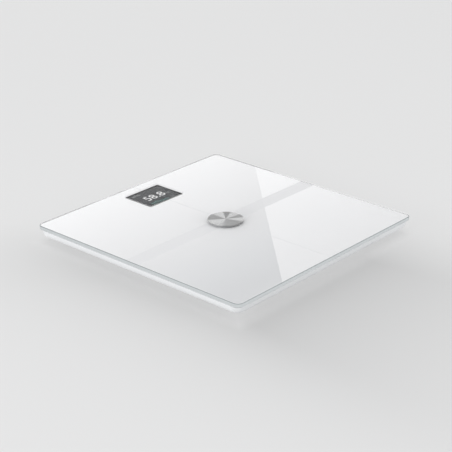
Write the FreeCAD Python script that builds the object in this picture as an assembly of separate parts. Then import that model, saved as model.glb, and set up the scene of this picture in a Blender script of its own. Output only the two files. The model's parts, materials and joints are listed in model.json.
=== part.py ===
"""Digital bathroom scale: a glass platform bonded to a shallow tray that stands on four load-cell feet.

Millimetres. The origin is on the floor under the middle of the platform, +Z is up, +Y points to the
display edge (the user's toes) and +X to the user's right. Each sub-part is written to parts/NODE.step.
"""

import FreeCAD, Part
import math
import os

Vector = FreeCAD.Vector
UP = Vector(0, 0, 1)

# ---- Platform -----------------------------------------------------------------------------------
PLATFORM_SIDE = 325.0        # square glass, edge to edge
GLASS_T = 5.0
GLASS_CORNER_R = 8.0
GLASS_CHAMFER = 0.5
PRINT_T = 0.1                # white ink on the glass's underside
PRINT_MARGIN = 0.8           # clear border between the ink and the glass edge
TAPE_T = 0.5                 # bonding tape between ink and tray

# ---- Transparent electrodes on the glass ----------------------------------------------------------
FILM_T = 0.1
FILM_MARGIN = 1.2            # from the glass edge
BAND_W = 21.0                # uncoated band between toe and heel electrodes
GAP_W = 1.5                  # uncoated line between left and right electrodes
FILM_WINDOW_GAP = 0.6        # film's edge to the display window

# ---- Tray -------------------------------------------------------------------------------------------
FLOOR_GAP = 7.0              # floor to the tray's underside
TRAY_INSET = 1.5             # tray side behind the glass edge
TRAY_CORNER_R = 12.0
TRAY_EDGE_R = 8.0            # bullnose along the lower edge
TRAY_WALL = 2.2
INNER_WALL_INSET = 9.6      # second wall, from the glass edge
INNER_WALL_T = 1.8
RIB_T = 1.4
RIB_H = 3.8
RIB_PITCH = 35.0
WEB_PITCH = 32.0             # webs between the two walls
TAPE_MARGIN = 0.9            # tape edge to tray edge
RIB_CLEARANCE = 1.2          # floor ribs stop this far from the circuit board
FUSE = 0.3                   # how far joined features run into each other
BEYOND = 1.0                 # how far a cutter runs past the wall that it opens

# ---- Display ------------------------------------------------------------------------------------
WINDOW_W, WINDOW_H = 60.0, 47.0
WINDOW_R = 2.0
WINDOW_MARGIN = 16.4         # platform edge to the window's edge
PANEL_BORDER = 1.6           # how far the LCD panel runs under the ink
PANEL_T = 1.6
PANEL_R = 1.0                # corners of panel, gasket and backlight
GASKET_T = 0.4
GASKET_W = 1.2
BACKLIGHT_STEP = 1.0         # backlight edge inside the panel's edge
FRAME_WALL = 1.2
FRAME_BASE_T = 0.5
FRAME_R = 1.5
FLEX_W, FLEX_T = 14.0, 0.2
FLEX_UNDER_PANEL = 0.3       # flex line above the panel's lower face
FLEX_OVER_BOARD = 1.2
FLEX_RUNS = (1.6, 1.8, 1.4)  # level, falling and level run outside the carrier
FIT = 0.2                    # loose fit between parts that drop into each other

# ---- Circuit board ------------------------------------------------------------------------------
BOARD_T = 1.2
BOARD_SIDE_ROOM = 29.0       # board beyond the display's carrier, left and right
BOARD_END_ROOM = 0.4         # and towards toe and heel
BOARD_CORNER_R = 2.0
BOSS_H = 2.8
BOSS_R = 3.0
BOARD_HOLE_INSET = 4.0
CONNECTOR = (6.0, 6.0, 3.0)  # reach into the board, width, height
CONNECTOR_INSET = 1.0        # socket to the board's edge
FLEX_SOCKET = (3.5, 2.2)     # reach, height
FLEX_CHEEK = 1.0             # socket beyond the flex, each side
ELECTRODE_PLUG_OUT = 6.2     # plug's middle outside the display's carrier
BATTERY_PLUG_OUT = 6.7
BATTERY_LEAD_PITCH = 3.0
PLUG_PITCH = 13.0            # toe to heel load-cell socket
TOE_PLUG_LOWEST = 2.0        # under the display's middle
RADIO_BASE = (18.0, 15.0, 0.8)   # width, depth, height
RADIO_CAN = (14.0, 12.5, 2.0)
RADIO_CAN_R = 0.8
RADIO_ANTENNA = 1.2          # can's middle towards the end that has no antenna
RADIO_OUT = 11.0             # middle outside the display's carrier
RADIO_DOWN = 10.0            # middle under the board's toe edge
CHIP_EDGE = 0.2
MICROCONTROLLER = (10.0, 10.0, 1.4)
MICROCONTROLLER_UP = 15.0    # above the display's middle
CONVERTER = (6.0, 8.0, 1.5)
CONVERTER_UP = 2.0
MEMORY = (5.0, 4.0, 1.2)
MEMORY_UP = 6.5
LEFT_CHIPS_OUT = 10.5        # middles outside the display's carrier
MEMORY_OUT = 17.0
CAPACITOR_R, CAPACITOR_H = 2.0, 3.0
CAPACITOR_PITCH = 5.5
CAPACITORS_OUT = 14.0
CAPACITORS_UP = 17.0         # above the board's lower edge
CHIP_CAPACITOR = (1.6, 0.8, 0.8)
CHIP_CAPACITOR_COUNT = 4
CHIP_CAPACITOR_PITCH = 2.4

# ---- Load cells and feet ------------------------------------------------------------------------
FOOT_INSET = 41.5            # platform edge to a foot's middle
LOAD_CELL_SIDE = 30.0
LOAD_CELL_T = 1.6
LOAD_CELL_CORNER = 4.0
TONGUE_W = 10.0
TONGUE_REACH = 7.0           # tongue's free end beyond the foot's axis
TONGUE_ROOT = 9.0            # tongue's fixed end on the other side of it
SLOT_W = 1.6
CELL_HOLE_INSET = 3.0
GAUGE = (4.0, 3.0, 0.1)      # width, length, height
GAUGE_FROM_AXIS = 6.5        # gauge's middle to the foot's axis
POTTING = (5.0, 6.0)         # length along the cable, width
POTTING_R = 0.5
WELL_CLEARANCE = 1.4
WELL_WALL = 1.8
WELL_CEILING = 2.0
PAD_H = 1.2                  # seats between the well's ceiling and the load cell
PAD_R = 2.4
RETAINER_WALL = 1.9
RETAINER_FIT = 0.1
RETAINER_LIP = 0.8           # under the tray
RETAINER_LIP_W = 1.5
BEAD = 0.45                  # snap bead of the retainer
FOOT_CLEARANCE = 0.5
FOOT_FLANGE_T = 1.2
FOOT_FLOAT = 0.1             # flange above the retainer at rest
FOOT_TRAVEL = 0.5            # how far the load cell's tongue can bend
FOOT_HEADROOM = 0.4          # flange to screw heads at the end of that travel
FOOT_WALL = 1.8
FOOT_BASE_Z = 0.8            # lower rim of the foot cup
PAD_T = 2.0                  # rubber pad
PAD_RIM = 1.0                # cup wall around the pad
PAD_EDGE_R = 0.4
GROOVE_W, GROOVE_DEPTH = 1.2, 0.6
GROOVE_SHARES = (0.45, 0.72) # of the pad's radius
PLUNGER_R = 4.0
PLUNGER_TIP_R = 2.5
PLUNGER_TIP_H = 0.8
FOOT_RIBS = 6

# ---- Screws -------------------------------------------------------------------------------------
CELL_SCREW = (1.0, 2.2, 1.2)   # shank radius, head radius, head height
BOARD_SCREW = (0.85, 2.0, 1.2)
SCREW_FIT = 0.1
THROUGH_FIT = 0.3
RECESS_R, RECESS_DEPTH = 0.8, 0.6
PILOT_SKIN = 0.5             # left between a load-cell screw's hole and the tray's rim
SCREW_SHORT = 1.0            # load-cell screw's end under the tray's rim
BOARD_SCREW_SHORT = 0.8      # board screw's end above the boss's foot

# ---- Batteries ----------------------------------------------------------------------------------
CELL_COUNT = 4
CELL_R = 5.25
CELL_L = 44.5                # with the positive nub
NUB_R, NUB_L = 1.9, 1.0
CELL_EDGE_R = 0.5
CELL_GAP = 0.6
CELL_PLAY = 0.2              # to the bay's ceiling
DOOR_PLAY = 0.3              # to the door
SPRING_L = 4.6
SPRING_WIRE = 0.7
SPRING_TURNS = 3.0
SPRING_ARCS = 12             # quarter turns
SPRING_R = 3.4               # at the plate
SPRING_CONE = 12.0           # degrees
CONTACT_T = 0.4
CONTACT_EDGE = 0.75          # contact strip short of a battery's diameter, each side
DIMPLE_L = 1.1
DIMPLE_FLARE = 0.6           # dimple's foot wider than the battery's nub
DIMPLE_SINK = 0.1            # into its strip
BAY_SIDE_PLAY = 0.4
BAY_WALL = 1.6
BAY_CEILING = 0.8
BAY_TO_HUB = 9.9             # bay's outer wall to the ring round the middle

# ---- Battery door -------------------------------------------------------------------------------
DOOR_T = 1.4
DOOR_SEAM = 0.1
DOOR_LAP = 2.4               # past the bay's outer wall
DOOR_CORNER_R = 3.0
DOOR_EDGE_R = 0.7
RAIL_T, RAIL_H = 1.0, 0.6
RAIL_GAP = 0.5
RAIL_SHORT = 2.0             # rail's end to the bay's end wall
NECK_STEP = 0.1              # hinge neck above the door's lower face
HINGE_PIN_R = 0.75
HINGE_FIT = 0.05
KNUCKLE_R = 1.3
KNUCKLE_W = 8.0
EAR_R = 1.4
EAR_W = 2.2
EAR_GAP = 0.3
HINGE_TO_DOOR = 1.7          # pin axis to the door's edge
HINGE_SPREAD = 16.0          # middle of each knuckle from the centre line
LATCH_W = 10.0
LATCH_T = 1.0
LATCH_GAP = 0.7
LATCH_NOSE_H = 0.8
LATCH_NOSE_INSET = 1.0       # nose narrower than its hook, each side

# ---- Unit button --------------------------------------------------------------------------------
BUTTON_R = 3.5
BUTTON_FLANGE_R = 5.0
BUTTON_FLANGE_T = 0.6
BUTTON_PROUD = 0.4
BUTTON_FIT = 0.3
BUTTON_FLOAT = 0.1
BUTTON_OFFSET = (-46.0, -16.0)   # from the display's middle
SWITCH_SIDE = 6.0
SWITCH_CLEAR = 0.4           # plunger showing under the switch body
PLUNGER_SWITCH_R = 1.5
PLUNGER_SWITCH_L = 1.4
SWITCH_ROOF = 0.6            # free space over the switch's pin
SWITCH_LID = 0.2             # least thickness over that space

# ---- Centre disc --------------------------------------------------------------------------------
DISC_R = 22.5
DISC_T = 1.2
DISC_CHAMFER = 0.35
INSULATOR_T = 0.3
INSULATOR_STEP = 1.0         # insulator edge inside the disc's edge
GLASS_HOLE_R = 6.0
SLEEVE_FIT = 0.1
STUD_R = 2.0
STUD_FIT = 0.1
TERMINAL_R = 11.0
TERMINAL_T = 1.0
NUT_AF = 7.0
NUT_H = 3.0
STUD_PROUD = 1.0
CONTACT_PAD_R = 2.0
CONTACT_PAD_EDGE = 2.0       # dot to the insulator's edge
CONTACT_PAD_STEP = 0.5       # dot to the uncoated band
HUB_RING_R = 14.0
HUB_RING_T = 2.0

# ---- Wiring -------------------------------------------------------------------------------------
CELL_CABLE_D = 1.8
CELL_CABLE_BEND = 9.0
BATTERY_LEAD_D = 1.2
BATTERY_LEAD_BEND = 2.4
BATTERY_LANES = (0.62, 0.3)  # of the way from bay to hub: positive, negative lead
CABLE_BEND_SHARE = 0.48      # of a short run that one bend may take
CABLE_LANE = 13.0            # long cables run this far outside the board's sides
CABLE_FROM_WELL = 4.0        # and at least this far from the heel feet's wells
NOTCH_PLAY = 0.4
CABLE_TO_CEILING = 0.1

# ---- Blank rating label -------------------------------------------------------------------------
LABEL_W, LABEL_D, LABEL_T = 60.0, 30.0, 0.25
LABEL_R = 2.0
LABEL_RECESS = 0.3
LABEL_Y = 60.0
LABEL_PLAY = 0.3

# ---- Heights and places worked out from the sizes above ----------------------------------------------
HALF = PLATFORM_SIDE / 2
FLOOR_TOP = FLOOR_GAP + TRAY_WALL
FOOT_FLANGE_Z = FLOOR_TOP + FOOT_FLOAT
HEAD_Z = FOOT_FLANGE_Z + FOOT_FLANGE_T + FOOT_TRAVEL + FOOT_HEADROOM
LOAD_CELL_Z = HEAD_Z + CELL_SCREW[2]
LOAD_CELL_TOP = LOAD_CELL_Z + LOAD_CELL_T
CEILING_Z = LOAD_CELL_TOP + PAD_H
RIM_Z = CEILING_Z + WELL_CEILING
PRINT_Z = RIM_Z + TAPE_T
GLASS_Z = PRINT_Z + PRINT_T
GLASS_TOP = GLASS_Z + GLASS_T
FILM_TOP = GLASS_TOP + FILM_T
DISC_Z = FILM_TOP + INSULATOR_T

DISPLAY = (0.0, HALF - WINDOW_MARGIN - WINDOW_H / 2)
BOARD_Z = FLOOR_TOP + BOSS_H
BOARD_TOP = BOARD_Z + BOARD_T
PANEL_TOP = PRINT_Z - GASKET_T
PANEL_Z = PANEL_TOP - PANEL_T
PANEL_W, PANEL_H = WINDOW_W + 2 * PANEL_BORDER, WINDOW_H + 2 * PANEL_BORDER
FRAME_W, FRAME_H = (side + 2 * (FIT + FRAME_WALL) for side in (PANEL_W, PANEL_H))
BOARD_W, BOARD_D = FRAME_W + 2 * BOARD_SIDE_ROOM, FRAME_H + 2 * BOARD_END_ROOM
BOARD_LOW_Y = DISPLAY[1] - BOARD_D / 2

CELL_REACH = LOAD_CELL_SIDE / math.sqrt(2) - LOAD_CELL_CORNER * (math.sqrt(2) - 1)
WELL_R = CELL_REACH + WELL_CLEARANCE
CELL_HOLE = LOAD_CELL_SIDE / 2 - CELL_HOLE_INSET
RETAINER_R = WELL_R - RETAINER_FIT
RETAINER_BORE = RETAINER_R - RETAINER_WALL
FOOT_R = RETAINER_BORE - FOOT_CLEARANCE
FOOT_FLANGE_R = WELL_R - FOOT_CLEARANCE
CABLE_Z = CEILING_Z - CABLE_TO_CEILING - CELL_CABLE_D / 2

BAY_PITCH = 2 * CELL_R + CELL_GAP
BAY_W = CELL_COUNT * BAY_PITCH + 2 * BAY_SIDE_PLAY
BAY_L = CELL_L + SPRING_L + CONTACT_T + DIMPLE_L + CONTACT_T
BAY_TOP_Y = -(HUB_RING_R + HUB_RING_T + BAY_TO_HUB + BAY_WALL)
BAY_Y = BAY_TOP_Y - BAY_L / 2
BAY_ROOF = RIM_Z - BAY_CEILING
BATTERY_Z = BAY_ROOF - CELL_PLAY - CELL_R
DOOR_TOP = min(BATTERY_Z - CELL_R - DOOR_PLAY, FLOOR_GAP - DOOR_SEAM)
BAY_RIM = DOOR_TOP + DOOR_SEAM
DOOR_Z = DOOR_TOP - DOOR_T
DOOR_LOW_Y = BAY_Y - BAY_L / 2 - BAY_WALL - DOOR_LAP
DOOR_HIGH_Y = BAY_Y + BAY_L / 2 + BAY_WALL + DOOR_LAP
HINGE_Y = DOOR_LOW_Y - HINGE_TO_DOOR
HINGE_Z = min(DOOR_Z + DOOR_T / 2, FLOOR_GAP - KNUCKLE_R - EAR_GAP)
LATCH_Y = DOOR_HIGH_Y + LATCH_T
CONTACT_H = 2 * (CELL_R - CONTACT_EDGE)

BUTTON = (DISPLAY[0] + BUTTON_OFFSET[0], DISPLAY[1] + BUTTON_OFFSET[1])
BUTTON_TOP = FLOOR_TOP + BUTTON_FLOAT + BUTTON_FLANGE_T
FEET = {
    "toe_left": (-1, 1),
    "toe_right": (1, 1),
    "heel_left": (-1, -1),
    "heel_right": (1, -1),
}


# ---- Building blocks ------------------------------------------------------------------------------
def box(x0, x1, y0, y1, z0, z1):
    """Upright block between two corners."""
    return Part.makeBox(x1 - x0, y1 - y0, z1 - z0, Vector(x0, y0, z0))


def block_at(centre, sizes, z0):
    """Upright block of a width, depth and height standing on a height."""
    (x, y), (width, depth, height) = centre, sizes
    return box(x - width / 2, x + width / 2, y - depth / 2, y + depth / 2, z0, z0 + height)


def cylinder(radius, z0, z1, centre=(0.0, 0.0)):
    """Upright cylinder."""
    return Part.makeCylinder(radius, z1 - z0, Vector(centre[0], centre[1], z0))


def ring(outer, inner, z0, z1, centre=(0.0, 0.0)):
    """Upright tube."""
    return cylinder(outer, z0, z1, centre).cut(cylinder(inner, z0, z1, centre))


def plate(width, depth, radius, z0, z1, centre=(0.0, 0.0)):
    """Upright plate with rounded corners."""
    edges, first, last = [], None, None
    for turn, (side_x, side_y) in enumerate([(1, 1), (-1, 1), (-1, -1), (1, -1)]):
        middle = Vector(
            centre[0] + side_x * (width / 2 - radius),
            centre[1] + side_y * (depth / 2 - radius),
            z0,
        )
        angles = [math.radians(90 * turn + step) for step in (0, 45, 90)]
        arc = [middle + Vector(math.cos(a), math.sin(a), 0) * radius for a in angles]
        if last is not None:
            edges.append(Part.LineSegment(last, arc[0]).toShape())
        edges.append(Part.Arc(*arc).toShape())
        first = first or arc[0]
        last = arc[2]
    edges.append(Part.LineSegment(last, first).toShape())
    return Part.Face(Part.Wire(edges)).extrude(UP * (z1 - z0))


def edges_at(shape, z, beyond=0.0):
    """Level edges at height z that reach further than a distance from the Z axis."""
    found = []
    for edge in shape.Edges:
        limits = edge.BoundBox
        level = abs(limits.ZMin - z) < 1e-4 and abs(limits.ZMax - z) < 1e-4
        reach = max(abs(v) for v in (limits.XMin, limits.XMax, limits.YMin, limits.YMax))
        if level and reach > beyond:
            found.append(edge)
    return found


def fused(shapes):
    """One solid from shapes that touch or overlap."""
    first, *others = shapes
    return first.fuse(others).removeSplitter() if others else first


def screw(sizes, seat, length, centre, upward=True):
    """Pan-head screw whose head rests on a seat height, with a round drive recess."""
    shank_r, head_r, head_h = sizes
    way = 1 if upward else -1
    low, high = sorted((seat, seat + way * length))
    head_low, head_high = sorted((seat, seat - way * head_h))
    head = cylinder(head_r, head_low, head_high, centre)
    outer = head_low if upward else head_high
    head = head.makeFillet(head_h / 3, edges_at(head, outer))
    recess_low, recess_high = sorted((outer, outer + way * RECESS_DEPTH))
    recess = cylinder(RECESS_R, recess_low, recess_high, centre)
    return head.fuse(cylinder(shank_r, low, high, centre)).removeSplitter().cut(recess)


def cable(points, diameter, bend):
    """Round cable along straight runs joined by tangent arcs. Prints its length."""
    points = [Vector(*p) for p in points]
    edges, start = [], points[0]
    for before, corner, after in zip(points, points[1:], points[2:]):
        way_in = (corner - before).normalize()
        way_out = (after - corner).normalize()
        turn = way_in.getAngle(way_out)
        shorter = min(corner.distanceToPoint(before), corner.distanceToPoint(after))
        radius = min(bend, CABLE_BEND_SHARE * shorter / math.tan(turn / 2))
        setback = radius * math.tan(turn / 2)
        inward = (way_out - way_in).normalize()
        middle = corner + inward * (radius / math.cos(turn / 2) - radius)
        arc_start, arc_end = corner - way_in * setback, corner + way_out * setback
        edges.append(Part.LineSegment(start, arc_start).toShape())
        edges.append(Part.Arc(arc_start, middle, arc_end).toShape())
        start = arc_end
    edges.append(Part.LineSegment(start, points[-1]).toShape())
    path = Part.Wire(edges)
    section = Part.Circle(points[0], points[1] - points[0], diameter / 2).toShape()
    tube = path.makePipeShell([Part.Wire([section])], True, False)
    area = math.pi * diameter**2 / 4
    print(f"cable {path.Length:.1f} mm, volume over section {tube.Volume / area:.1f} mm")
    return tube


def foot_centre(side_x, side_y):
    """Middle of a foot from its corner's signs."""
    return side_x * (HALF - FOOT_INSET), side_y * (HALF - FOOT_INSET)


def board_holes():
    """Middles of the circuit board's four screw holes."""
    x, y = BOARD_W / 2 - BOARD_HOLE_INSET, BOARD_D / 2 - BOARD_HOLE_INSET
    return [(DISPLAY[0] + i * x, DISPLAY[1] + j * y) for i in (-1, 1) for j in (-1, 1)]


def load_cell_holes(centre):
    """Middles of a load cell's four screw holes."""
    return [
        (centre[0] + i * CELL_HOLE, centre[1] + j * CELL_HOLE) for i in (-1, 1) for j in (-1, 1)
    ]


def hinge_cylinder(radius, x0, x1):
    """Cylinder along the battery door's pin axis."""
    return Part.makeCylinder(radius, x1 - x0, Vector(x0, HINGE_Y, HINGE_Z), Vector(1, 0, 0))


# ---- Platform -------------------------------------------------------------------------------------
def glass_platform():
    """Tempered glass with bevelled edges and a hole under the centre disc."""
    glass = plate(PLATFORM_SIDE, PLATFORM_SIDE, GLASS_CORNER_R, GLASS_Z, GLASS_TOP)
    rims = edges_at(glass, GLASS_Z) + edges_at(glass, GLASS_TOP)
    glass = glass.makeChamfer(GLASS_CHAMFER, rims)
    return glass.cut(cylinder(GLASS_HOLE_R, GLASS_Z, GLASS_TOP))


def back_print():
    """White ink under the glass, left out at the display window."""
    side = PLATFORM_SIDE - 2 * PRINT_MARGIN
    ink = plate(side, side, GLASS_CORNER_R - PRINT_MARGIN, PRINT_Z, GLASS_Z)
    window = plate(WINDOW_W, WINDOW_H, WINDOW_R, PRINT_Z, GLASS_Z, DISPLAY)
    return ink.cut([window, cylinder(GLASS_HOLE_R, PRINT_Z, GLASS_Z)])


def electrode_film(side_x, side_y):
    """One of the four transparent electrodes on top of the glass."""
    side = PLATFORM_SIDE - 2 * FILM_MARGIN
    whole = plate(side, side, GLASS_CORNER_R - FILM_MARGIN, GLASS_TOP, FILM_TOP)
    x0, x1 = sorted((side_x * GAP_W / 2, side_x * HALF))
    y0, y1 = sorted((side_y * BAND_W / 2, side_y * HALF))
    width, height = WINDOW_W + 2 * FILM_WINDOW_GAP, WINDOW_H + 2 * FILM_WINDOW_GAP
    window = plate(width, height, WINDOW_R, GLASS_TOP, FILM_TOP, DISPLAY)
    return whole.common(box(x0, x1, y0, y1, GLASS_TOP, FILM_TOP)).cut(window)


def bonding_tape():
    """Foam tape under the platform: around the rim, over each foot and round the middle."""
    outer_inset, inner_inset = TRAY_INSET + TAPE_MARGIN, INNER_WALL_INSET + INNER_WALL_T
    outer, inner = PLATFORM_SIDE - 2 * outer_inset, PLATFORM_SIDE - 2 * inner_inset
    outer_r = TRAY_CORNER_R - TAPE_MARGIN
    inner_r = outer_r - (inner_inset - outer_inset) / 2
    pieces = [
        plate(outer, outer, outer_r, RIM_Z, PRINT_Z).cut(
            plate(inner, inner, inner_r, RIM_Z, PRINT_Z)
        ),
        ring(HUB_RING_R + HUB_RING_T, HUB_RING_R, RIM_Z, PRINT_Z),
    ]
    pieces += [
        cylinder(WELL_R, RIM_Z, PRINT_Z, foot_centre(*signs)) for signs in FEET.values()
    ]
    return Part.makeCompound(pieces)


# ---- Centre disc ----------------------------------------------------------------------------------
def centre_disc():
    """Brushed disc with the welded stud that clamps it to the glass."""
    disc = cylinder(DISC_R, DISC_Z, DISC_Z + DISC_T)
    disc = disc.makeChamfer(DISC_CHAMFER, edges_at(disc, DISC_Z + DISC_T))
    stud_end = PRINT_Z - TERMINAL_T - NUT_H - STUD_PROUD
    return disc.fuse(cylinder(STUD_R, stud_end, DISC_Z)).removeSplitter()


def contact_places():
    """Where the four electrode contacts sit under the disc."""
    reach = DISC_R - INSULATOR_STEP - CONTACT_PAD_R - CONTACT_PAD_EDGE
    y = BAND_W / 2 + CONTACT_PAD_R + CONTACT_PAD_STEP
    x = math.sqrt(reach**2 - y**2)
    return [(i * x, j * y) for i in (-1, 1) for j in (-1, 1)]


def disc_insulator():
    """Plastic washer under the disc with the sleeve that lines the hole in the glass."""
    washer = cylinder(DISC_R - INSULATOR_STEP, FILM_TOP, DISC_Z)
    sleeve = cylinder(GLASS_HOLE_R - SLEEVE_FIT, PRINT_Z, DISC_Z)
    cuts = [cylinder(CONTACT_PAD_R + FIT, FILM_TOP, DISC_Z, at) for at in contact_places()]
    cuts.append(cylinder(STUD_R + STUD_FIT, PRINT_Z, DISC_Z))
    return washer.fuse(sleeve).removeSplitter().cut(cuts)


def electrode_contacts():
    """Conductive rubber dots between the electrode films and the disc's wiring."""
    dots = [cylinder(CONTACT_PAD_R, FILM_TOP, DISC_Z, at) for at in contact_places()]
    return Part.makeCompound(dots)


def terminal_board():
    """Round board under the glass where the electrode leads end, with its plug socket."""
    board = ring(TERMINAL_R, STUD_R + STUD_FIT, PRINT_Z - TERMINAL_T, PRINT_Z)
    half_w = CONNECTOR[1] / 2
    socket_low = CABLE_Z - CELL_CABLE_D
    socket = box(
        TERMINAL_R - CONNECTOR[0], TERMINAL_R, -half_w, half_w, socket_low, PRINT_Z - TERMINAL_T
    )
    return board.fuse(socket).removeSplitter()


def disc_nut():
    """Hexagon nut on the disc's stud."""
    low = PRINT_Z - TERMINAL_T - NUT_H
    across_corners = NUT_AF / math.cos(math.radians(30)) / 2
    points = [
        Vector(
            across_corners * math.cos(math.radians(60 * k + 30)),
            across_corners * math.sin(math.radians(60 * k + 30)),
            low,
        )
        for k in range(7)
    ]
    hexagon = Part.Face(Part.makePolygon(points)).extrude(UP * NUT_H)
    return hexagon.cut(cylinder(STUD_R + SLEEVE_FIT / 2, low, low + NUT_H))


# ---- Tray -----------------------------------------------------------------------------------------
def tray_shell():
    """Outer skin of the tray: walls, floor and the bullnose between them."""
    side = PLATFORM_SIDE - 2 * TRAY_INSET
    outer = plate(side, side, TRAY_CORNER_R, FLOOR_GAP, RIM_Z)
    outer = outer.makeFillet(TRAY_EDGE_R, edges_at(outer, FLOOR_GAP))
    inside = side - 2 * TRAY_WALL
    cavity = plate(inside, inside, TRAY_CORNER_R - TRAY_WALL, FLOOR_TOP, RIM_Z)
    cavity = cavity.makeFillet(TRAY_EDGE_R - TRAY_WALL, edges_at(cavity, FLOOR_TOP))
    return outer.cut(cavity)


def inner_wall():
    """Second wall inside the rim, tied to the outer one by short webs."""
    outer = PLATFORM_SIDE - 2 * INNER_WALL_INSET
    inner = outer - 2 * INNER_WALL_T
    radius = TRAY_CORNER_R - TRAY_WALL
    low = FLOOR_TOP - FUSE
    pieces = [
        plate(outer, outer, radius, low, RIM_Z).cut(
            plate(inner, inner, radius - INNER_WALL_T, low, RIM_Z)
        )
    ]
    webs_each_way = int((outer / 2 - radius) // WEB_PITCH)
    near, far = outer / 2 - FUSE, HALF - TRAY_INSET - TRAY_WALL + FUSE
    top = RIM_Z - TAPE_T
    web_low = FLOOR_TOP + (TRAY_EDGE_R - TRAY_WALL) / 2
    for step in range(-webs_each_way, webs_each_way + 1):
        a0, a1 = step * WEB_PITCH - RIB_T / 2, step * WEB_PITCH + RIB_T / 2
        pieces += [
            box(near, far, a0, a1, web_low, top),
            box(-far, -near, a0, a1, web_low, top),
            box(a0, a1, near, far, web_low, top),
            box(a0, a1, -far, -near, web_low, top),
        ]
    return pieces


def floor_ribs():
    """Low grid that stiffens the tray's floor, cut away round everything that sits on it."""
    reach = HALF - INNER_WALL_INSET - INNER_WALL_T / 2
    count = int(reach // RIB_PITCH)
    low, high = FLOOR_TOP - FUSE, FLOOR_TOP + RIB_H
    bars = []
    for step in range(-count, count + 1):
        a0, a1 = step * RIB_PITCH - RIB_T / 2, step * RIB_PITCH + RIB_T / 2
        bars += [box(-reach, reach, a0, a1, low, high), box(a0, a1, -reach, reach, low, high)]
    board_w, board_d = BOARD_W + 2 * RIB_CLEARANCE, BOARD_D + 2 * RIB_CLEARANCE
    board = plate(board_w, board_d, BOARD_CORNER_R, low, high, DISPLAY)
    half_w, half_l = BAY_W / 2 + BAY_WALL / 2, BAY_L / 2 + BAY_WALL / 2
    bay = box(-half_w, half_w, BAY_Y - half_l, BAY_Y + half_l, low, high)
    latch = box(-LATCH_W, LATCH_W, DOOR_HIGH_Y - DOOR_LAP, LATCH_Y + 3 * LATCH_GAP, low, high)
    hub = cylinder(HUB_RING_R + HUB_RING_T / 2, low, high)
    wells = [
        cylinder(WELL_R + WELL_WALL / 2, low, high, foot_centre(*signs))
        for signs in FEET.values()
    ]
    return fused(bars).cut([board, bay, latch, hub] + wells)


def foot_well(signs):
    """(material, cuts) of the pocket that holds one load cell and its foot."""
    centre = foot_centre(*signs)
    body = cylinder(WELL_R + WELL_WALL, FLOOR_GAP, RIM_Z, centre)
    pocket = cylinder(WELL_R, FLOOR_GAP, CEILING_Z, centre)
    seats = [cylinder(PAD_R, LOAD_CELL_TOP, CEILING_Z, at) for at in load_cell_holes(centre)]
    groove_z = (FLOOR_GAP + FLOOR_TOP) / 2
    groove = cylinder(WELL_R + BEAD, groove_z - BEAD, groove_z + BEAD, centre)
    wall_x = centre[0] - signs[0] * (WELL_R + WELL_WALL)
    notch_x = sorted((centre[0], wall_x - signs[0] * BEYOND))
    half_w = CELL_CABLE_D / 2 + NOTCH_PLAY
    notch = box(*notch_x, centre[1] - half_w, centre[1] + half_w, CABLE_Z - half_w, CEILING_Z)
    shank_r = CELL_SCREW[0] + SCREW_FIT
    pilots = [
        cylinder(shank_r, LOAD_CELL_TOP, RIM_Z - PILOT_SKIN, at)
        for at in load_cell_holes(centre)
    ]
    return body, pocket.cut(seats), [groove, notch] + pilots


def battery_bay():
    """(material, cuts) of the bay that hangs a little below the tray for the four cells."""
    half_w, half_l = BAY_W / 2, BAY_L / 2
    body = plate(
        BAY_W + 2 * BAY_WALL, BAY_L + 2 * BAY_WALL, BAY_WALL, BAY_RIM, RIM_Z, (0, BAY_Y)
    )
    pocket = box(-half_w, half_w, BAY_Y - half_l, BAY_Y + half_l, BAY_RIM, BAY_ROOF)
    tab_r = BATTERY_LEAD_D / 2 + SCREW_FIT
    high_y = BAY_Y + half_l
    tabs = [
        Part.makeCylinder(tab_r, BAY_WALL, Vector(x, high_y, CABLE_Z), Vector(0, 1, 0))
        for x in (battery_x(0), battery_x(CELL_COUNT - 1))
    ]
    return body, [pocket] + tabs


def hinge_ears():
    """Ears under the tray that carry the battery door's pins."""
    ears = []
    for knuckle_x in (-HINGE_SPREAD, HINGE_SPREAD):
        for side in (-1, 1):
            inner = knuckle_x + side * (KNUCKLE_W / 2 + EAR_GAP)
            x0, x1 = sorted((inner, inner + side * EAR_W))
            web = box(x0, x1, HINGE_Y - EAR_R, HINGE_Y + EAR_R, HINGE_Z, FLOOR_GAP + FUSE)
            ear = web.fuse(hinge_cylinder(EAR_R, x0, x1)).removeSplitter()
            ears.append(ear.cut(hinge_cylinder(HINGE_PIN_R, x0, x1)))
    return ears


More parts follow.
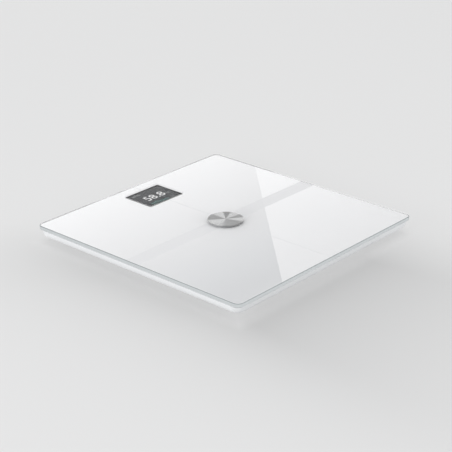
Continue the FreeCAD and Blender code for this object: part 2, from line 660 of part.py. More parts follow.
def bottom_tray():
    """White moulded tray with its walls, ribs, wells, bay and bosses."""
    wells = [foot_well(signs) for signs in FEET.values()]
    bay, bay_cuts = battery_bay()
    hub_r = HUB_RING_R + HUB_RING_T
    hub = ring(hub_r, HUB_RING_R, FLOOR_TOP - FUSE, RIM_Z)
    bosses = [cylinder(BOSS_R, FLOOR_TOP - FUSE, BOARD_Z, at) for at in board_holes()]
    solids = [tray_shell()] + inner_wall() + [floor_ribs(), hub, bay]
    solids += bosses + [body for body, pocket, cuts in wells] + hinge_ears()
    tray = fused(solids)
    notch_w = CELL_CABLE_D / 2 + NOTCH_PLAY
    cuts = list(bay_cuts)
    cuts += [pocket for body, pocket, others in wells]
    cuts += [cut for body, pocket, others in wells for cut in others]
    cuts += [
        cylinder(BOARD_SCREW[0] + SCREW_FIT, FLOOR_TOP, BOARD_Z, at) for at in board_holes()
    ]
    cuts += [
        box(0, hub_r + BEYOND, -notch_w, notch_w, CABLE_Z - notch_w, RIM_Z),
        cylinder(BUTTON_R + BUTTON_FIT, FLOOR_GAP, FLOOR_TOP, BUTTON),
        box(
            -LATCH_W / 2 - LATCH_GAP,
            LATCH_W / 2 + LATCH_GAP,
            DOOR_HIGH_Y - LATCH_GAP,
            LATCH_Y + 2 * LATCH_GAP,
            FLOOR_GAP,
            FLOOR_TOP,
        ),
        plate(
            LABEL_W, LABEL_D, LABEL_R, FLOOR_GAP, FLOOR_GAP + LABEL_RECESS, (0, LABEL_Y)
        ),
    ]
    return tray.cut(cuts).removeSplitter()


def rating_label():
    """Blank foil label in its recess under the tray."""
    width, depth = LABEL_W - 2 * LABEL_PLAY, LABEL_D - 2 * LABEL_PLAY
    top = FLOOR_GAP + LABEL_RECESS
    return plate(width, depth, LABEL_R - LABEL_PLAY, top - LABEL_T, top, (0, LABEL_Y))


# ---- Load cells and feet --------------------------------------------------------------------------
def load_cell(centre):
    """Steel plate whose middle tongue bends when the foot pushes it up."""
    x, y = centre
    body = plate(
        LOAD_CELL_SIDE, LOAD_CELL_SIDE, LOAD_CELL_CORNER, LOAD_CELL_Z, LOAD_CELL_TOP, centre
    )
    half, outer = TONGUE_W / 2, TONGUE_W / 2 + SLOT_W
    low, high = y - TONGUE_REACH - SLOT_W, y + TONGUE_ROOT
    cuts = [
        box(x - outer, x - half, low, high, LOAD_CELL_Z, LOAD_CELL_TOP),
        box(x + half, x + outer, low, high, LOAD_CELL_Z, LOAD_CELL_TOP),
        box(x - outer, x + outer, low, low + SLOT_W, LOAD_CELL_Z, LOAD_CELL_TOP),
    ]
    cuts += [
        cylinder(CELL_SCREW[0] + THROUGH_FIT, LOAD_CELL_Z, LOAD_CELL_TOP, at)
        for at in load_cell_holes(centre)
    ]
    return body.cut(cuts)


def load_cell_screws():
    """Sixteen screws that hold the load cells to the wells' ceilings."""
    length = RIM_Z - LOAD_CELL_Z - SCREW_SHORT
    return Part.makeCompound(
        [
            screw(CELL_SCREW, LOAD_CELL_Z, length, at)
            for signs in FEET.values()
            for at in load_cell_holes(foot_centre(*signs))
        ]
    )


def strain_gauges():
    """Foil gauges on the tongues, near their fixed ends."""
    width, length, height = GAUGE
    gauges = []
    for signs in FEET.values():
        x, y = foot_centre(*signs)
        low, high = y + GAUGE_FROM_AXIS - length / 2, y + GAUGE_FROM_AXIS + length / 2
        top = LOAD_CELL_TOP + height
        gauges.append(box(x - width / 2, x + width / 2, low, high, LOAD_CELL_TOP, top))
    return Part.makeCompound(gauges)


def gauge_potting():
    """Silicone over the joints between each load cell and its cable."""
    length, width = POTTING
    top = CEILING_Z - CABLE_TO_CEILING
    blobs = []
    for signs in FEET.values():
        x, y = foot_centre(*signs)
        edge = x - signs[0] * LOAD_CELL_SIDE / 2
        x0, x1 = sorted((edge, edge + signs[0] * length))
        blob = box(x0, x1, y - width / 2, y + width / 2, LOAD_CELL_TOP, top)
        blobs.append(blob.makeFillet(POTTING_R, edges_at(blob, top)))
    return Part.makeCompound(blobs)


def foot_retainer(centre):
    """Snap ring that keeps the foot in its well."""
    body = cylinder(RETAINER_R, FLOOR_GAP, FLOOR_TOP, centre)
    lip = cylinder(WELL_R + RETAINER_LIP_W, FLOOR_GAP - RETAINER_LIP, FLOOR_GAP, centre)
    lip = lip.makeFillet(RETAINER_LIP / 2, edges_at(lip, FLOOR_GAP - RETAINER_LIP))
    bead_z = (FLOOR_GAP + FLOOR_TOP) / 2
    bead_t = BEAD - FIT / 2
    bead = cylinder(RETAINER_R + BEAD, bead_z - bead_t, bead_z + bead_t, centre)
    bore = cylinder(RETAINER_BORE, FLOOR_GAP - RETAINER_LIP, FLOOR_TOP, centre)
    return fused([body, lip, bead]).cut(bore)


def foot_retainers():
    """The four snap rings."""
    return Part.makeCompound([foot_retainer(foot_centre(*signs)) for signs in FEET.values()])


def foot_cup(centre):
    """Plastic foot: a flanged cup with a ribbed plunger that presses on the load cell."""
    x, y = centre
    deck_z = PAD_T + FOOT_WALL
    body = cylinder(FOOT_R, FOOT_BASE_Z, FOOT_FLANGE_Z, centre)
    body = body.makeFillet(FOOT_BASE_Z / 2, edges_at(body, FOOT_BASE_Z))
    flange_top = FOOT_FLANGE_Z + FOOT_FLANGE_T
    flange = cylinder(FOOT_FLANGE_R, FOOT_FLANGE_Z, flange_top, centre)
    shell = body.fuse(flange).removeSplitter()
    shell = shell.cut(
        [
            cylinder(FOOT_R - PAD_RIM, FOOT_BASE_Z, PAD_T, centre),
            cylinder(FOOT_R - FOOT_WALL, deck_z, flange_top, centre),
        ]
    )
    tip_z = LOAD_CELL_Z - PLUNGER_TIP_H
    pieces = [
        shell,
        cylinder(PLUNGER_R, deck_z - FUSE, tip_z, centre),
        cylinder(PLUNGER_TIP_R, tip_z - FUSE, LOAD_CELL_Z, centre),
    ]
    reach = FOOT_R - FOOT_WALL + FUSE
    for k in range(FOOT_RIBS):
        rib = box(0, reach, -RIB_T / 2, RIB_T / 2, deck_z - FUSE, FOOT_FLANGE_Z)
        rib.rotate(Vector(0, 0, 0), UP, 360.0 * k / FOOT_RIBS)
        rib.translate(Vector(x, y, 0))
        pieces.append(rib)
    return fused(pieces)


def foot_pad(centre):
    """Rubber pad in the foot's recess, with two grip grooves."""
    radius = FOOT_R - PAD_RIM
    pad = cylinder(radius, 0, PAD_T, centre)
    pad = pad.makeFillet(PAD_EDGE_R, edges_at(pad, 0))
    half = GROOVE_W / 2
    grooves = [
        ring(radius * share + half, radius * share - half, 0, GROOVE_DEPTH, centre)
        for share in GROOVE_SHARES
    ]
    return pad.cut(grooves)


# ---- Display --------------------------------------------------------------------------------------
def lcd_panel():
    """Liquid-crystal panel behind the window."""
    return plate(PANEL_W, PANEL_H, PANEL_R, PANEL_Z, PANEL_TOP, DISPLAY)


def display_gasket():
    """Foam frame between the panel and the glass."""
    outer = plate(PANEL_W, PANEL_H, PANEL_R, PANEL_TOP, PRINT_Z, DISPLAY)
    width, height = PANEL_W - 2 * GASKET_W, PANEL_H - 2 * GASKET_W
    return outer.cut(plate(width, height, PANEL_R, PANEL_TOP, PRINT_Z, DISPLAY))


def lcd_backlight():
    """Light guide under the panel."""
    width, height = PANEL_W - 2 * BACKLIGHT_STEP, PANEL_H - 2 * BACKLIGHT_STEP
    return plate(width, height, PANEL_R, BOARD_TOP + FRAME_BASE_T, PANEL_Z, DISPLAY)


def flex_line():
    """(x, z) points of the display's flexible connector, from the panel to its socket."""
    out, fall, end = FLEX_RUNS
    x = DISPLAY[0] + FRAME_W / 2 + out
    high, low = PANEL_Z + FLEX_UNDER_PANEL, BOARD_TOP + FLEX_OVER_BOARD
    start = (DISPLAY[0] + PANEL_W / 2, high)
    return [start, (x, high), (x + fall, low), (x + fall + end, low)]


def lcd_flex():
    """Flexible printed connector."""
    line = flex_line()
    y = DISPLAY[1] - FLEX_W / 2
    upper = [Vector(x, y, z + FLEX_T / 2) for x, z in line]
    lower = [Vector(x, y, z - FLEX_T / 2) for x, z in reversed(line)]
    outline = Part.makePolygon(upper + lower + [upper[0]])
    return Part.Face(outline).extrude(Vector(0, FLEX_W, 0))


def lcd_frame():
    """Plastic carrier that holds panel and backlight on the board."""
    top = PRINT_Z - TAPE_T
    outer = plate(FRAME_W, FRAME_H, FRAME_R, BOARD_TOP, top, DISPLAY)
    width, height = PANEL_W + 2 * FIT, PANEL_H + 2 * FIT
    inner = plate(width, height, PANEL_R, BOARD_TOP + FRAME_BASE_T, top, DISPLAY)
    slot_z = flex_line()[0][1]
    slot = box(
        DISPLAY[0],
        DISPLAY[0] + FRAME_W,
        DISPLAY[1] - FLEX_W / 2 - FIT,
        DISPLAY[1] + FLEX_W / 2 + FIT,
        slot_z - FIT,
        slot_z + FIT,
    )
    return outer.cut(inner).cut(slot)


# ---- Circuit board --------------------------------------------------------------------------------
def main_board():
    """Green circuit board on the tray's bosses."""
    board = plate(BOARD_W, BOARD_D, BOARD_CORNER_R, BOARD_Z, BOARD_TOP, DISPLAY)
    hole_r = BOARD_SCREW[0] + THROUGH_FIT
    return board.cut([cylinder(hole_r, BOARD_Z, BOARD_TOP, at) for at in board_holes()])


def board_screws():
    """Four screws through the board into the bosses."""
    length = BOARD_T + BOSS_H - BOARD_SCREW_SHORT
    return Part.makeCompound(
        [screw(BOARD_SCREW, BOARD_TOP, length, at, upward=False) for at in board_holes()]
    )


def cell_plug_y(side_y):
    """Height on the board's side edge of a toe (1) or heel (-1) load-cell plug."""
    reach = BOARD_D / 2 - 2 * BOARD_HOLE_INSET - CONNECTOR[1] / 2
    toe = max(DISPLAY[1] - TOE_PLUG_LOWEST, min(HALF - FOOT_INSET, DISPLAY[1] + reach))
    return toe if side_y > 0 else toe - PLUG_PITCH


def electrode_plug_x():
    """Where the electrode lead meets the board's lower edge."""
    return DISPLAY[0] + FRAME_W / 2 + ELECTRODE_PLUG_OUT


def battery_plug_x():
    """(positive, negative) places of the battery leads on the board's lower edge."""
    middle = DISPLAY[0] - FRAME_W / 2 - BATTERY_PLUG_OUT
    return middle + BATTERY_LEAD_PITCH / 2, middle - BATTERY_LEAD_PITCH / 2


def board_connectors():
    """White sockets along the board's edges."""
    reach, width, height = CONNECTOR
    low, high = BOARD_TOP, BOARD_TOP + height
    edge_x = BOARD_W / 2 - CONNECTOR_INSET
    blocks = []
    for side_x, side_y in FEET.values():
        x0, x1 = sorted((DISPLAY[0] + side_x * edge_x, DISPLAY[0] + side_x * (edge_x - reach)))
        y = cell_plug_y(side_y)
        blocks.append(box(x0, x1, y - width / 2, y + width / 2, low, high))
    y0 = BOARD_LOW_Y + CONNECTOR_INSET
    for middle in (electrode_plug_x(), sum(battery_plug_x()) / 2):
        blocks.append(box(middle - width / 2, middle + width / 2, y0, y0 + reach, low, high))
    flex_x = flex_line()[-1][0]
    flex_reach, flex_height = FLEX_SOCKET
    y0, y1 = (DISPLAY[1] + side * (FLEX_W / 2 + FLEX_CHEEK) for side in (-1, 1))
    blocks.append(box(flex_x, flex_x + flex_reach, y0, y1, low, low + flex_height))
    return Part.makeCompound(blocks)


def radio_module():
    """Wireless module under its metal can."""
    x = DISPLAY[0] + FRAME_W / 2 + RADIO_OUT
    y = DISPLAY[1] + BOARD_D / 2 - RADIO_DOWN
    width, depth, height = RADIO_CAN
    base = block_at((x, y), RADIO_BASE, BOARD_TOP)
    low = BOARD_TOP + RADIO_BASE[2]
    can = plate(width, depth, RADIO_CAN_R, low, low + height, (x + RADIO_ANTENNA, y))
    can = can.makeFillet(RADIO_CAN_R / 2, edges_at(can, low + height))
    return base.fuse(can).removeSplitter()


def board_chips():
    """Microcontroller, converter and memory."""
    left = DISPLAY[0] - FRAME_W / 2 - LEFT_CHIPS_OUT
    right = DISPLAY[0] + FRAME_W / 2 + MEMORY_OUT
    places = [
        (left, DISPLAY[1] + MICROCONTROLLER_UP, MICROCONTROLLER),
        (left, DISPLAY[1] + CONVERTER_UP, CONVERTER),
        (right, DISPLAY[1] + MEMORY_UP, MEMORY),
    ]
    chips = []
    for x, y, sizes in places:
        chip = block_at((x, y), sizes, BOARD_TOP)
        chips.append(chip.makeChamfer(CHIP_EDGE, edges_at(chip, BOARD_TOP + sizes[2])))
    return Part.makeCompound(chips)


def board_capacitors():
    """Two electrolytic cans and a row of small chip capacitors."""
    out = FRAME_W / 2 + CAPACITORS_OUT
    y = BOARD_LOW_Y + CAPACITORS_UP
    cans = [
        cylinder(CAPACITOR_R, BOARD_TOP, BOARD_TOP + CAPACITOR_H, (DISPLAY[0] - out + step, y))
        for step in (0, CAPACITOR_PITCH)
    ]
    middle = (CHIP_CAPACITOR_COUNT - 1) / 2
    chips = [
        block_at(
            (DISPLAY[0] + out, y + (k - middle) * CHIP_CAPACITOR_PITCH), CHIP_CAPACITOR, BOARD_TOP
        )
        for k in range(CHIP_CAPACITOR_COUNT)
    ]
    return Part.makeCompound(cans + chips)


# ---- Unit button ----------------------------------------------------------------------------------
def units_button():
    """Button under the tray with the flange that keeps it in."""
    stem = cylinder(BUTTON_R, FLOOR_GAP - BUTTON_PROUD, BUTTON_TOP, BUTTON)
    stem = stem.makeFillet(BUTTON_PROUD / 2, edges_at(stem, FLOOR_GAP - BUTTON_PROUD))
    flange = cylinder(BUTTON_FLANGE_R, FLOOR_TOP + BUTTON_FLOAT, BUTTON_TOP, BUTTON)
    return stem.fuse(flange).removeSplitter()


def switch_plunger():
    """Moving pin of the push switch."""
    return cylinder(PLUNGER_SWITCH_R, BUTTON_TOP, BUTTON_TOP + PLUNGER_SWITCH_L, BUTTON)


def push_switch():
    """Push switch under the board."""
    low = BUTTON_TOP + SWITCH_CLEAR
    body = block_at(BUTTON, (SWITCH_SIDE, SWITCH_SIDE, BOARD_Z - low), low)
    roof = min(BUTTON_TOP + PLUNGER_SWITCH_L + SWITCH_ROOF, BOARD_Z - SWITCH_LID)
    return body.cut(cylinder(PLUNGER_SWITCH_R + FIT / 2, low, roof, BUTTON))


# ---- Batteries ------------------------------------------------------------------------------------
def battery_x(index):
    """Middle of a battery across the bay."""
    return (index - (CELL_COUNT - 1) / 2) * BAY_PITCH


def battery_way(index):
    """1 if a battery's positive end points to the display, else -1."""
    return 1 if index % 2 else -1


def battery(index):
    """AAA cell lying along Y."""
    way = battery_way(index)
    spring_face = BAY_Y - way * (BAY_L / 2 - CONTACT_T - SPRING_L)
    start = Vector(battery_x(index), spring_face, BATTERY_Z)
    along = Vector(0, way, 0)
    can = Part.makeCylinder(CELL_R, CELL_L - NUB_L, start, along)
    can = can.makeFillet(CELL_EDGE_R, [edge for edge in can.Edges if edge.Closed])
    nub = Part.makeCylinder(NUB_R, CELL_L - FUSE, start + along * FUSE, along)
    return can.fuse(nub).removeSplitter()


def conical_coil():
    """Conical spring standing on the origin: a chain of quarter-turn arcs, each rising evenly."""
    rise = SPRING_L - SPRING_WIRE
    foot_r = SPRING_R - SPRING_WIRE / 2
    head_r = foot_r - rise * math.tan(math.radians(SPRING_CONE))
    steps = 2 * SPRING_ARCS

    def point(step):
        share = step / steps
        angle = 2 * math.pi * SPRING_TURNS * share
        radius = foot_r + (head_r - foot_r) * share
        return Vector(radius * math.cos(angle), radius * math.sin(angle), rise * share)

    arcs = [Part.Arc(point(k), point(k + 1), point(k + 2)) for k in range(0, steps, 2)]
    path = Part.Wire([arc.toShape() for arc in arcs])
    first = path.OrderedEdges[0]
    way = first.tangentAt(first.FirstParameter)
    section = Part.Wire([Part.Circle(point(0), way, SPRING_WIRE / 2).toShape()])
    return path.makePipeShell([section], True, False)


def battery_springs():
    """Conical springs behind the negative ends."""
    springs = []
    for index in range(CELL_COUNT):
        side = battery_way(index)
        plate_face = BAY_Y - side * (BAY_L / 2 - CONTACT_T)
        coil = conical_coil()
        coil.rotate(Vector(0, 0, 0), Vector(1, 0, 0), -90 * side)
        coil.translate(Vector(battery_x(index), plate_face + side * SPRING_WIRE / 2, BATTERY_Z))
        springs.append(coil)
    return Part.makeCompound(springs)


def battery_contacts():
    """Spring-steel plates on the bay's end walls, with a dimple for each positive end."""
    pieces = []
    z0, z1 = BATTERY_Z - CONTACT_H / 2, BATTERY_Z + CONTACT_H / 2
    half = CONTACT_H / 2
    groups = {-1: [(0, 1), (2, 3)], 1: [(0, 0), (1, 2), (3, 3)]}
    for side, spans in groups.items():
        wall = BAY_Y + side * BAY_L / 2
        y0, y1 = sorted((wall, wall - side * CONTACT_T))
        for first, last in spans:
            strip = box(battery_x(first) - half, battery_x(last) + half, y0, y1, z0, z1)
            for index in range(first, last + 1):
                if battery_way(index) == side:
                    face_y = wall - side * (CONTACT_T - DIMPLE_SINK)
                    dimple = Part.makeCone(
                        NUB_R + DIMPLE_FLARE,
                        NUB_R,
                        DIMPLE_L + DIMPLE_SINK,
                        Vector(battery_x(index), face_y, BATTERY_Z),
                        Vector(0, -side, 0),
                    )
                    strip = strip.fuse(dimple)
            pieces.append(strip.removeSplitter())
    return Part.makeCompound(pieces)


# ---- Battery door ---------------------------------------------------------------------------------
def battery_door():
    """Door under the bay with hinge knuckles, locating rails and a latch hook."""
    width = BAY_W + 2 * (BAY_WALL + DOOR_LAP)
    length = DOOR_HIGH_Y - DOOR_LOW_Y
    middle = (DOOR_HIGH_Y + DOOR_LOW_Y) / 2
    panel = plate(width, length, DOOR_CORNER_R, DOOR_Z, DOOR_TOP, (0, middle))
    panel = panel.makeFillet(DOOR_EDGE_R, edges_at(panel, DOOR_Z))
    pieces = [panel]
    rail_x = BAY_W / 2 - RAIL_GAP
    rail_l = BAY_L / 2 - RAIL_SHORT
    for side in (-1, 1):
        x0, x1 = sorted((side * rail_x, side * (rail_x - RAIL_T)))
        pieces.append(
            box(x0, x1, BAY_Y - rail_l, BAY_Y + rail_l, DOOR_TOP - FUSE, DOOR_TOP + RAIL_H)
        )
    for knuckle_x in (-HINGE_SPREAD, HINGE_SPREAD):
        x0, x1 = knuckle_x - KNUCKLE_W / 2, knuckle_x + KNUCKLE_W / 2
        neck_end = DOOR_LOW_Y + DOOR_EDGE_R + FUSE
        neck = box(x0, x1, HINGE_Y, neck_end, DOOR_Z + NECK_STEP, DOOR_TOP)
        pieces += [hinge_cylinder(KNUCKLE_R, x0, x1), neck]
    half_w = LATCH_W / 2
    foot_y = DOOR_HIGH_Y - DOOR_EDGE_R - FUSE
    hook_top = FLOOR_GAP + TRAY_WALL / 2
    pieces.append(box(-half_w, half_w, foot_y, LATCH_Y, DOOR_Z, DOOR_TOP))
    pieces.append(box(-half_w, half_w, LATCH_Y - LATCH_T, LATCH_Y, DOOR_Z, hook_top))
    nose_w = half_w - LATCH_NOSE_INSET
    nose_y0, nose_y1 = LATCH_Y - FUSE, LATCH_Y + LATCH_GAP
    pieces.append(box(-nose_w, nose_w, nose_y0, nose_y1, hook_top - LATCH_NOSE_H, hook_top))
    bores = [
        hinge_cylinder(HINGE_PIN_R + HINGE_FIT, x - KNUCKLE_W / 2, x + KNUCKLE_W / 2)
        for x in (-HINGE_SPREAD, HINGE_SPREAD)
    ]
    return fused(pieces).cut(bores)


def door_hinge_pins():
    """Steel pins pressed into the tray's ears."""
    half = KNUCKLE_W / 2 + EAR_GAP + EAR_W
    return Part.makeCompound(
        [hinge_cylinder(HINGE_PIN_R, x - half, x + half) for x in (-HINGE_SPREAD, HINGE_SPREAD)]
    )


# ---- Wiring ---------------------------------------------------------------------------------------
def load_cell_cable(signs):
    """Cable from one load cell to its socket on the board."""
    side_x, side_y = signs
    x, y = foot_centre(*signs)
    start = (x - side_x * LOAD_CELL_SIDE / 2, y)
    plug = (DISPLAY[0] + side_x * (BOARD_W / 2 - CONNECTOR_INSET), cell_plug_y(side_y))
    beside_well = HALF - FOOT_INSET - WELL_R - WELL_WALL - CABLE_FROM_WELL
    lane_x = side_x * min(DISPLAY[0] * side_x + BOARD_W / 2 + CABLE_LANE, beside_well)
    if side_y > 0:
        third = (start[0] - plug[0]) / 3
        sideways = [(start[0] - third, y), (plug[0] + third, plug[1])]
        corners = [] if y == plug[1] else sideways
    else:
        corners = [(lane_x, y), (lane_x, plug[1])]
    points = [(px, py, CABLE_Z) for px, py in [start] + corners + [plug]]
    return cable(points, CELL_CABLE_D, CELL_CABLE_BEND)


def electrode_lead():
    """Cable from the disc's terminal board, round the bay, to the main board."""
    x = electrode_plug_x()
    corners = [(TERMINAL_R, 0), (x, 0), (x, BOARD_LOW_Y + CONNECTOR_INSET)]
    return cable([(px, py, CABLE_Z) for px, py in corners], CELL_CABLE_D, CELL_CABLE_BEND)


def battery_leads():
    """Positive and negative leads from the bay to the board."""
    plug_y = BOARD_LOW_Y + CONNECTOR_INSET
    positive, negative = battery_plug_x()
    positive_lane, negative_lane = BATTERY_LANES
    leads = []
    for index, plug_x, share in (
        (CELL_COUNT - 1, positive, positive_lane),
        (0, negative, negative_lane),
    ):
        lane_y = BAY_TOP_Y + BAY_WALL + share * BAY_TO_HUB
        x = battery_x(index)
        corners = [(x, BAY_TOP_Y), (x, lane_y), (plug_x, lane_y), (plug_x, plug_y)]
        points = [(px, py, CABLE_Z) for px, py in corners]
        leads.append(cable(points, BATTERY_LEAD_D, BATTERY_LEAD_BEND))
    return leads


# ---- The whole scale ------------------------------------------------------------------------------
def all_nodes():
    """Every sub-part by its name."""
    nodes = {
        "glass_platform": glass_platform(),
        "back_print": back_print(),
        "bonding_tape": bonding_tape(),
        "centre_disc": centre_disc(),
        "disc_insulator": disc_insulator(),
        "electrode_contacts": electrode_contacts(),
        "terminal_board": terminal_board(),
        "disc_nut": disc_nut(),
        "bottom_tray": bottom_tray(),
        "rating_label": rating_label(),
        "load_cell_screws": load_cell_screws(),
        "strain_gauges": strain_gauges(),
        "gauge_potting": gauge_potting(),
        "foot_retainers": foot_retainers(),
        "lcd_panel": lcd_panel(),
        "display_gasket": display_gasket(),
        "lcd_backlight": lcd_backlight(),
        "lcd_flex": lcd_flex(),
        "lcd_frame": lcd_frame(),
        "main_board": main_board(),
        "board_screws": board_screws(),
        "board_connectors": board_connectors(),
        "radio_module": radio_module(),
        "board_chips": board_chips(),
        "board_capacitors": board_capacitors(),
        "units_button": units_button(),
        "switch_plunger": switch_plunger(),
        "push_switch": push_switch(),
        "battery_springs": battery_springs(),
        "battery_contacts": battery_contacts(),
        "battery_door": battery_door(),
        "door_hinge_pins": door_hinge_pins(),
        "electrode_lead": electrode_lead(),
    }
    nodes["battery_lead_positive"], nodes["battery_lead_negative"] = battery_leads()
    for index in range(CELL_COUNT):
        nodes[f"battery_{index + 1}"] = battery(index)
    for name, signs in FEET.items():
        centre = foot_centre(*signs)
        nodes[f"electrode_{name}"] = electrode_film(*signs)
        nodes[f"load_cell_{name}"] = load_cell(centre)
        nodes[f"foot_cup_{name}"] = foot_cup(centre)
        nodes[f"foot_pad_{name}"] = foot_pad(centre)
        nodes[f"load_cell_cable_{name}"] = load_cell_cable(signs)
    return nodes


def main():
    os.makedirs("parts", exist_ok=True)
    for name, shape in all_nodes().items():
        for number, solid in enumerate(shape.Solids):
            if not solid.isValid() or solid.Volume <= 0:
                print("invalid solid", name, number)
        shape.exportStep(os.path.join("parts", name + ".step"))
        print(f"{name}: {len(shape.Solids)} solid(s), {shape.Volume / 1000:.2f} cm3")


main()
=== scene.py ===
# %% [markdown]
# # A glass bathroom scale
#
# This is a lesson in building the looks of a product around a finished engineering model. The model
# already says where everything is and how it moves. What it lacks is light, finish and the small
# things a hand would notice: how glass shows its edge, how turned steel fans out a reflection, how a
# moulded tray takes a soft shine. Everything is in metres and in the model's own frame: the origin is
# on the floor under the middle of the platform, Z is up and the display is towards +Y.

# %% Load the model
import json
import math

import bmesh
import bpy
from mathutils import Matrix, Vector


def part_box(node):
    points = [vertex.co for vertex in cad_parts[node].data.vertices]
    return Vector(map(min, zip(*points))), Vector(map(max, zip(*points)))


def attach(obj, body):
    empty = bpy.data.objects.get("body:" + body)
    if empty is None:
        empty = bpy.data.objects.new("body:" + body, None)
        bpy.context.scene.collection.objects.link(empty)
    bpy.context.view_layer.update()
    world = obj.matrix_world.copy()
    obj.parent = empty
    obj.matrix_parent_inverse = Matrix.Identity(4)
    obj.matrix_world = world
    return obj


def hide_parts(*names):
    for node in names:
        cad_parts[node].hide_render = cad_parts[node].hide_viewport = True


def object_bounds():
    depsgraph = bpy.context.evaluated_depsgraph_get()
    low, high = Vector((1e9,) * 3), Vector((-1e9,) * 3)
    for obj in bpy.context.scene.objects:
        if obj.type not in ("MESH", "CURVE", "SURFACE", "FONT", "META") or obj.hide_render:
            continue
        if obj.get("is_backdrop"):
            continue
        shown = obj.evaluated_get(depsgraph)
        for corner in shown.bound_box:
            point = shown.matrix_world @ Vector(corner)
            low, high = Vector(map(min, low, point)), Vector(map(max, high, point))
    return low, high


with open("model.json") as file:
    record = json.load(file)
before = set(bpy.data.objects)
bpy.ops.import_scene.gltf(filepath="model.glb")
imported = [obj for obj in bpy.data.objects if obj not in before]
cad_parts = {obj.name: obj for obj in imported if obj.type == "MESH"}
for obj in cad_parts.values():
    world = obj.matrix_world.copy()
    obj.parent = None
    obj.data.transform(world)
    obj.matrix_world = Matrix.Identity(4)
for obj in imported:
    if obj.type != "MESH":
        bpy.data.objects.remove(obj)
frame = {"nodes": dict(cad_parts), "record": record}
cad_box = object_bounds()
nodes = frame["nodes"]
MM = 0.001
print("model box, mm:", [[round(v / MM, 2) for v in corner] for corner in cad_box])

# %% [markdown]
# ## Sizes that the looks need
#
# Places are read from the model's own nodes, so the pieces made here land where the real ones are.
# The glass gives the platform, the ink gives the margin round it, and the panel gives the display.

# %% Read the sizes
glass_low, glass_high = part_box("glass_platform")
ink_low, ink_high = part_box("back_print")
panel_low, panel_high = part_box("lcd_panel")
gasket_low, gasket_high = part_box("display_gasket")
film_low, film_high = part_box("electrode_toe_right")
disc_low, disc_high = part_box("centre_disc")
PLATFORM = glass_high.x - glass_low.x
GLASS_TOP = glass_high.z
DISPLAY_X = (panel_low.x + panel_high.x) / 2
DISPLAY_Y = (panel_low.y + panel_high.y) / 2
GLASS_CORNER = 8 * MM
INK_MARGIN = glass_high.x - ink_high.x
FILM_MARGIN = glass_high.x - film_high.x
WINDOW = (60 * MM, 47 * MM)
print("platform", round(PLATFORM / MM, 1), "glass top", round(GLASS_TOP / MM, 2))
print("display middle, mm:", round(DISPLAY_X / MM, 2), round(DISPLAY_Y / MM, 2))

# %% [markdown]
# ## Camera
#
# The scale is seen from its heel-left corner, a little over a metre and a half away, with a long lens
# that keeps the square's sides nearly parallel. The camera stands beyond that corner and looks a hand's
# width short of the middle.

# %% Place the camera
CAMERA_FROM_GLASS = Vector((-1.15472, -1.02494, 0.67235))
AIM_ON_GLASS = Vector((-0.01355, -0.01239, 0.0))
CAMERA_ROLL = math.radians(-0.08)
camera_data = bpy.data.cameras.new("studio_camera")
camera_data.sensor_width = 36.0
camera_data.lens = 109.54
camera = bpy.data.objects.new("studio_camera", camera_data)
bpy.context.scene.collection.objects.link(camera)
glass_middle = Vector((0, 0, GLASS_TOP))
camera.location = glass_middle + CAMERA_FROM_GLASS
look = AIM_ON_GLASS - CAMERA_FROM_GLASS
turn = look.to_track_quat("-Z", "Y").to_matrix() @ Matrix.Rotation(CAMERA_ROLL, 3, "Z")
camera.rotation_euler = turn.to_euler()
bpy.context.scene.camera = camera
print("camera distance", round(look.length, 3), "m")

# %% [markdown]
# ## Shader maths as plain expressions
#
# A procedural finish is a formula: a position goes in and a colour or a roughness comes out. Drawing
# such a formula node by node hides it, so one small class wraps a socket and lets the formula be
# written the way it would be on paper. `1 - mask` or `ring * 0.2 + 0.4` each add their Math node.
# Colours and vectors go through Mix and Vector Math nodes, because a Math node would turn them grey.

# %% The socket class
class Sock:
    """A node's output that can be added, multiplied and compared."""

    def __init__(self, made, socket):
        self.made = made
        self.socket = socket

    def _math(self, operation, *values, clamp=False):
        settings = {"operation": operation, "use_clamp": clamp}
        inputs = {index: value for index, value in enumerate(values)}
        return self.made.node("ShaderNodeMath", settings, inputs)

    def __add__(self, other):
        return self._math("ADD", self, other)

    def __sub__(self, other):
        return self._math("SUBTRACT", self, other)

    def __rsub__(self, other):
        return self._math("SUBTRACT", other, self)

    def __mul__(self, other):
        return self._math("MULTIPLY", self, other)

    def __truediv__(self, other):
        return self._math("DIVIDE", self, other)

    def __pow__(self, other):
        return self._math("POWER", self, other)

    def __gt__(self, other):
        return self._math("GREATER_THAN", self, other)

    def __lt__(self, other):
        return self._math("LESS_THAN", self, other)

    __radd__ = __add__
    __rmul__ = __mul__

    def size(self):
        return self._math("ABSOLUTE", self)

    def at_least(self, value):
        return self._math("MAXIMUM", self, value)

    greater = at_least

    def at_most(self, value):
        return self._math("MINIMUM", self, value)

    def fade(self, length):
        """1 at nought, falling off evenly with distance by the given length."""
        return self._math("POWER", math.e, self * (-1 / length))

    def wave(self, length):
        """A wave from -1 to 1 that repeats over the given length."""
        return self._math("SINE", self * (2 * math.pi / length))

    def smooth(self, low, high):
        """0 under low, 1 over high and a soft step between."""
        settings = {"interpolation_type": "SMOOTHSTEP"}
        inputs = {"Value": self, "From Min": low, "From Max": high}
        return self.made.node("ShaderNodeMapRange", settings, inputs, "Result")


# %% [markdown]
# ## A finish
#
# A `Finish` holds one material. Its `node` method makes any node from its type, its settings and what
# goes into its sockets, and the rest are short names for what nearly every finish uses. Values that
# are the same all over are typed straight into the shader's socket.

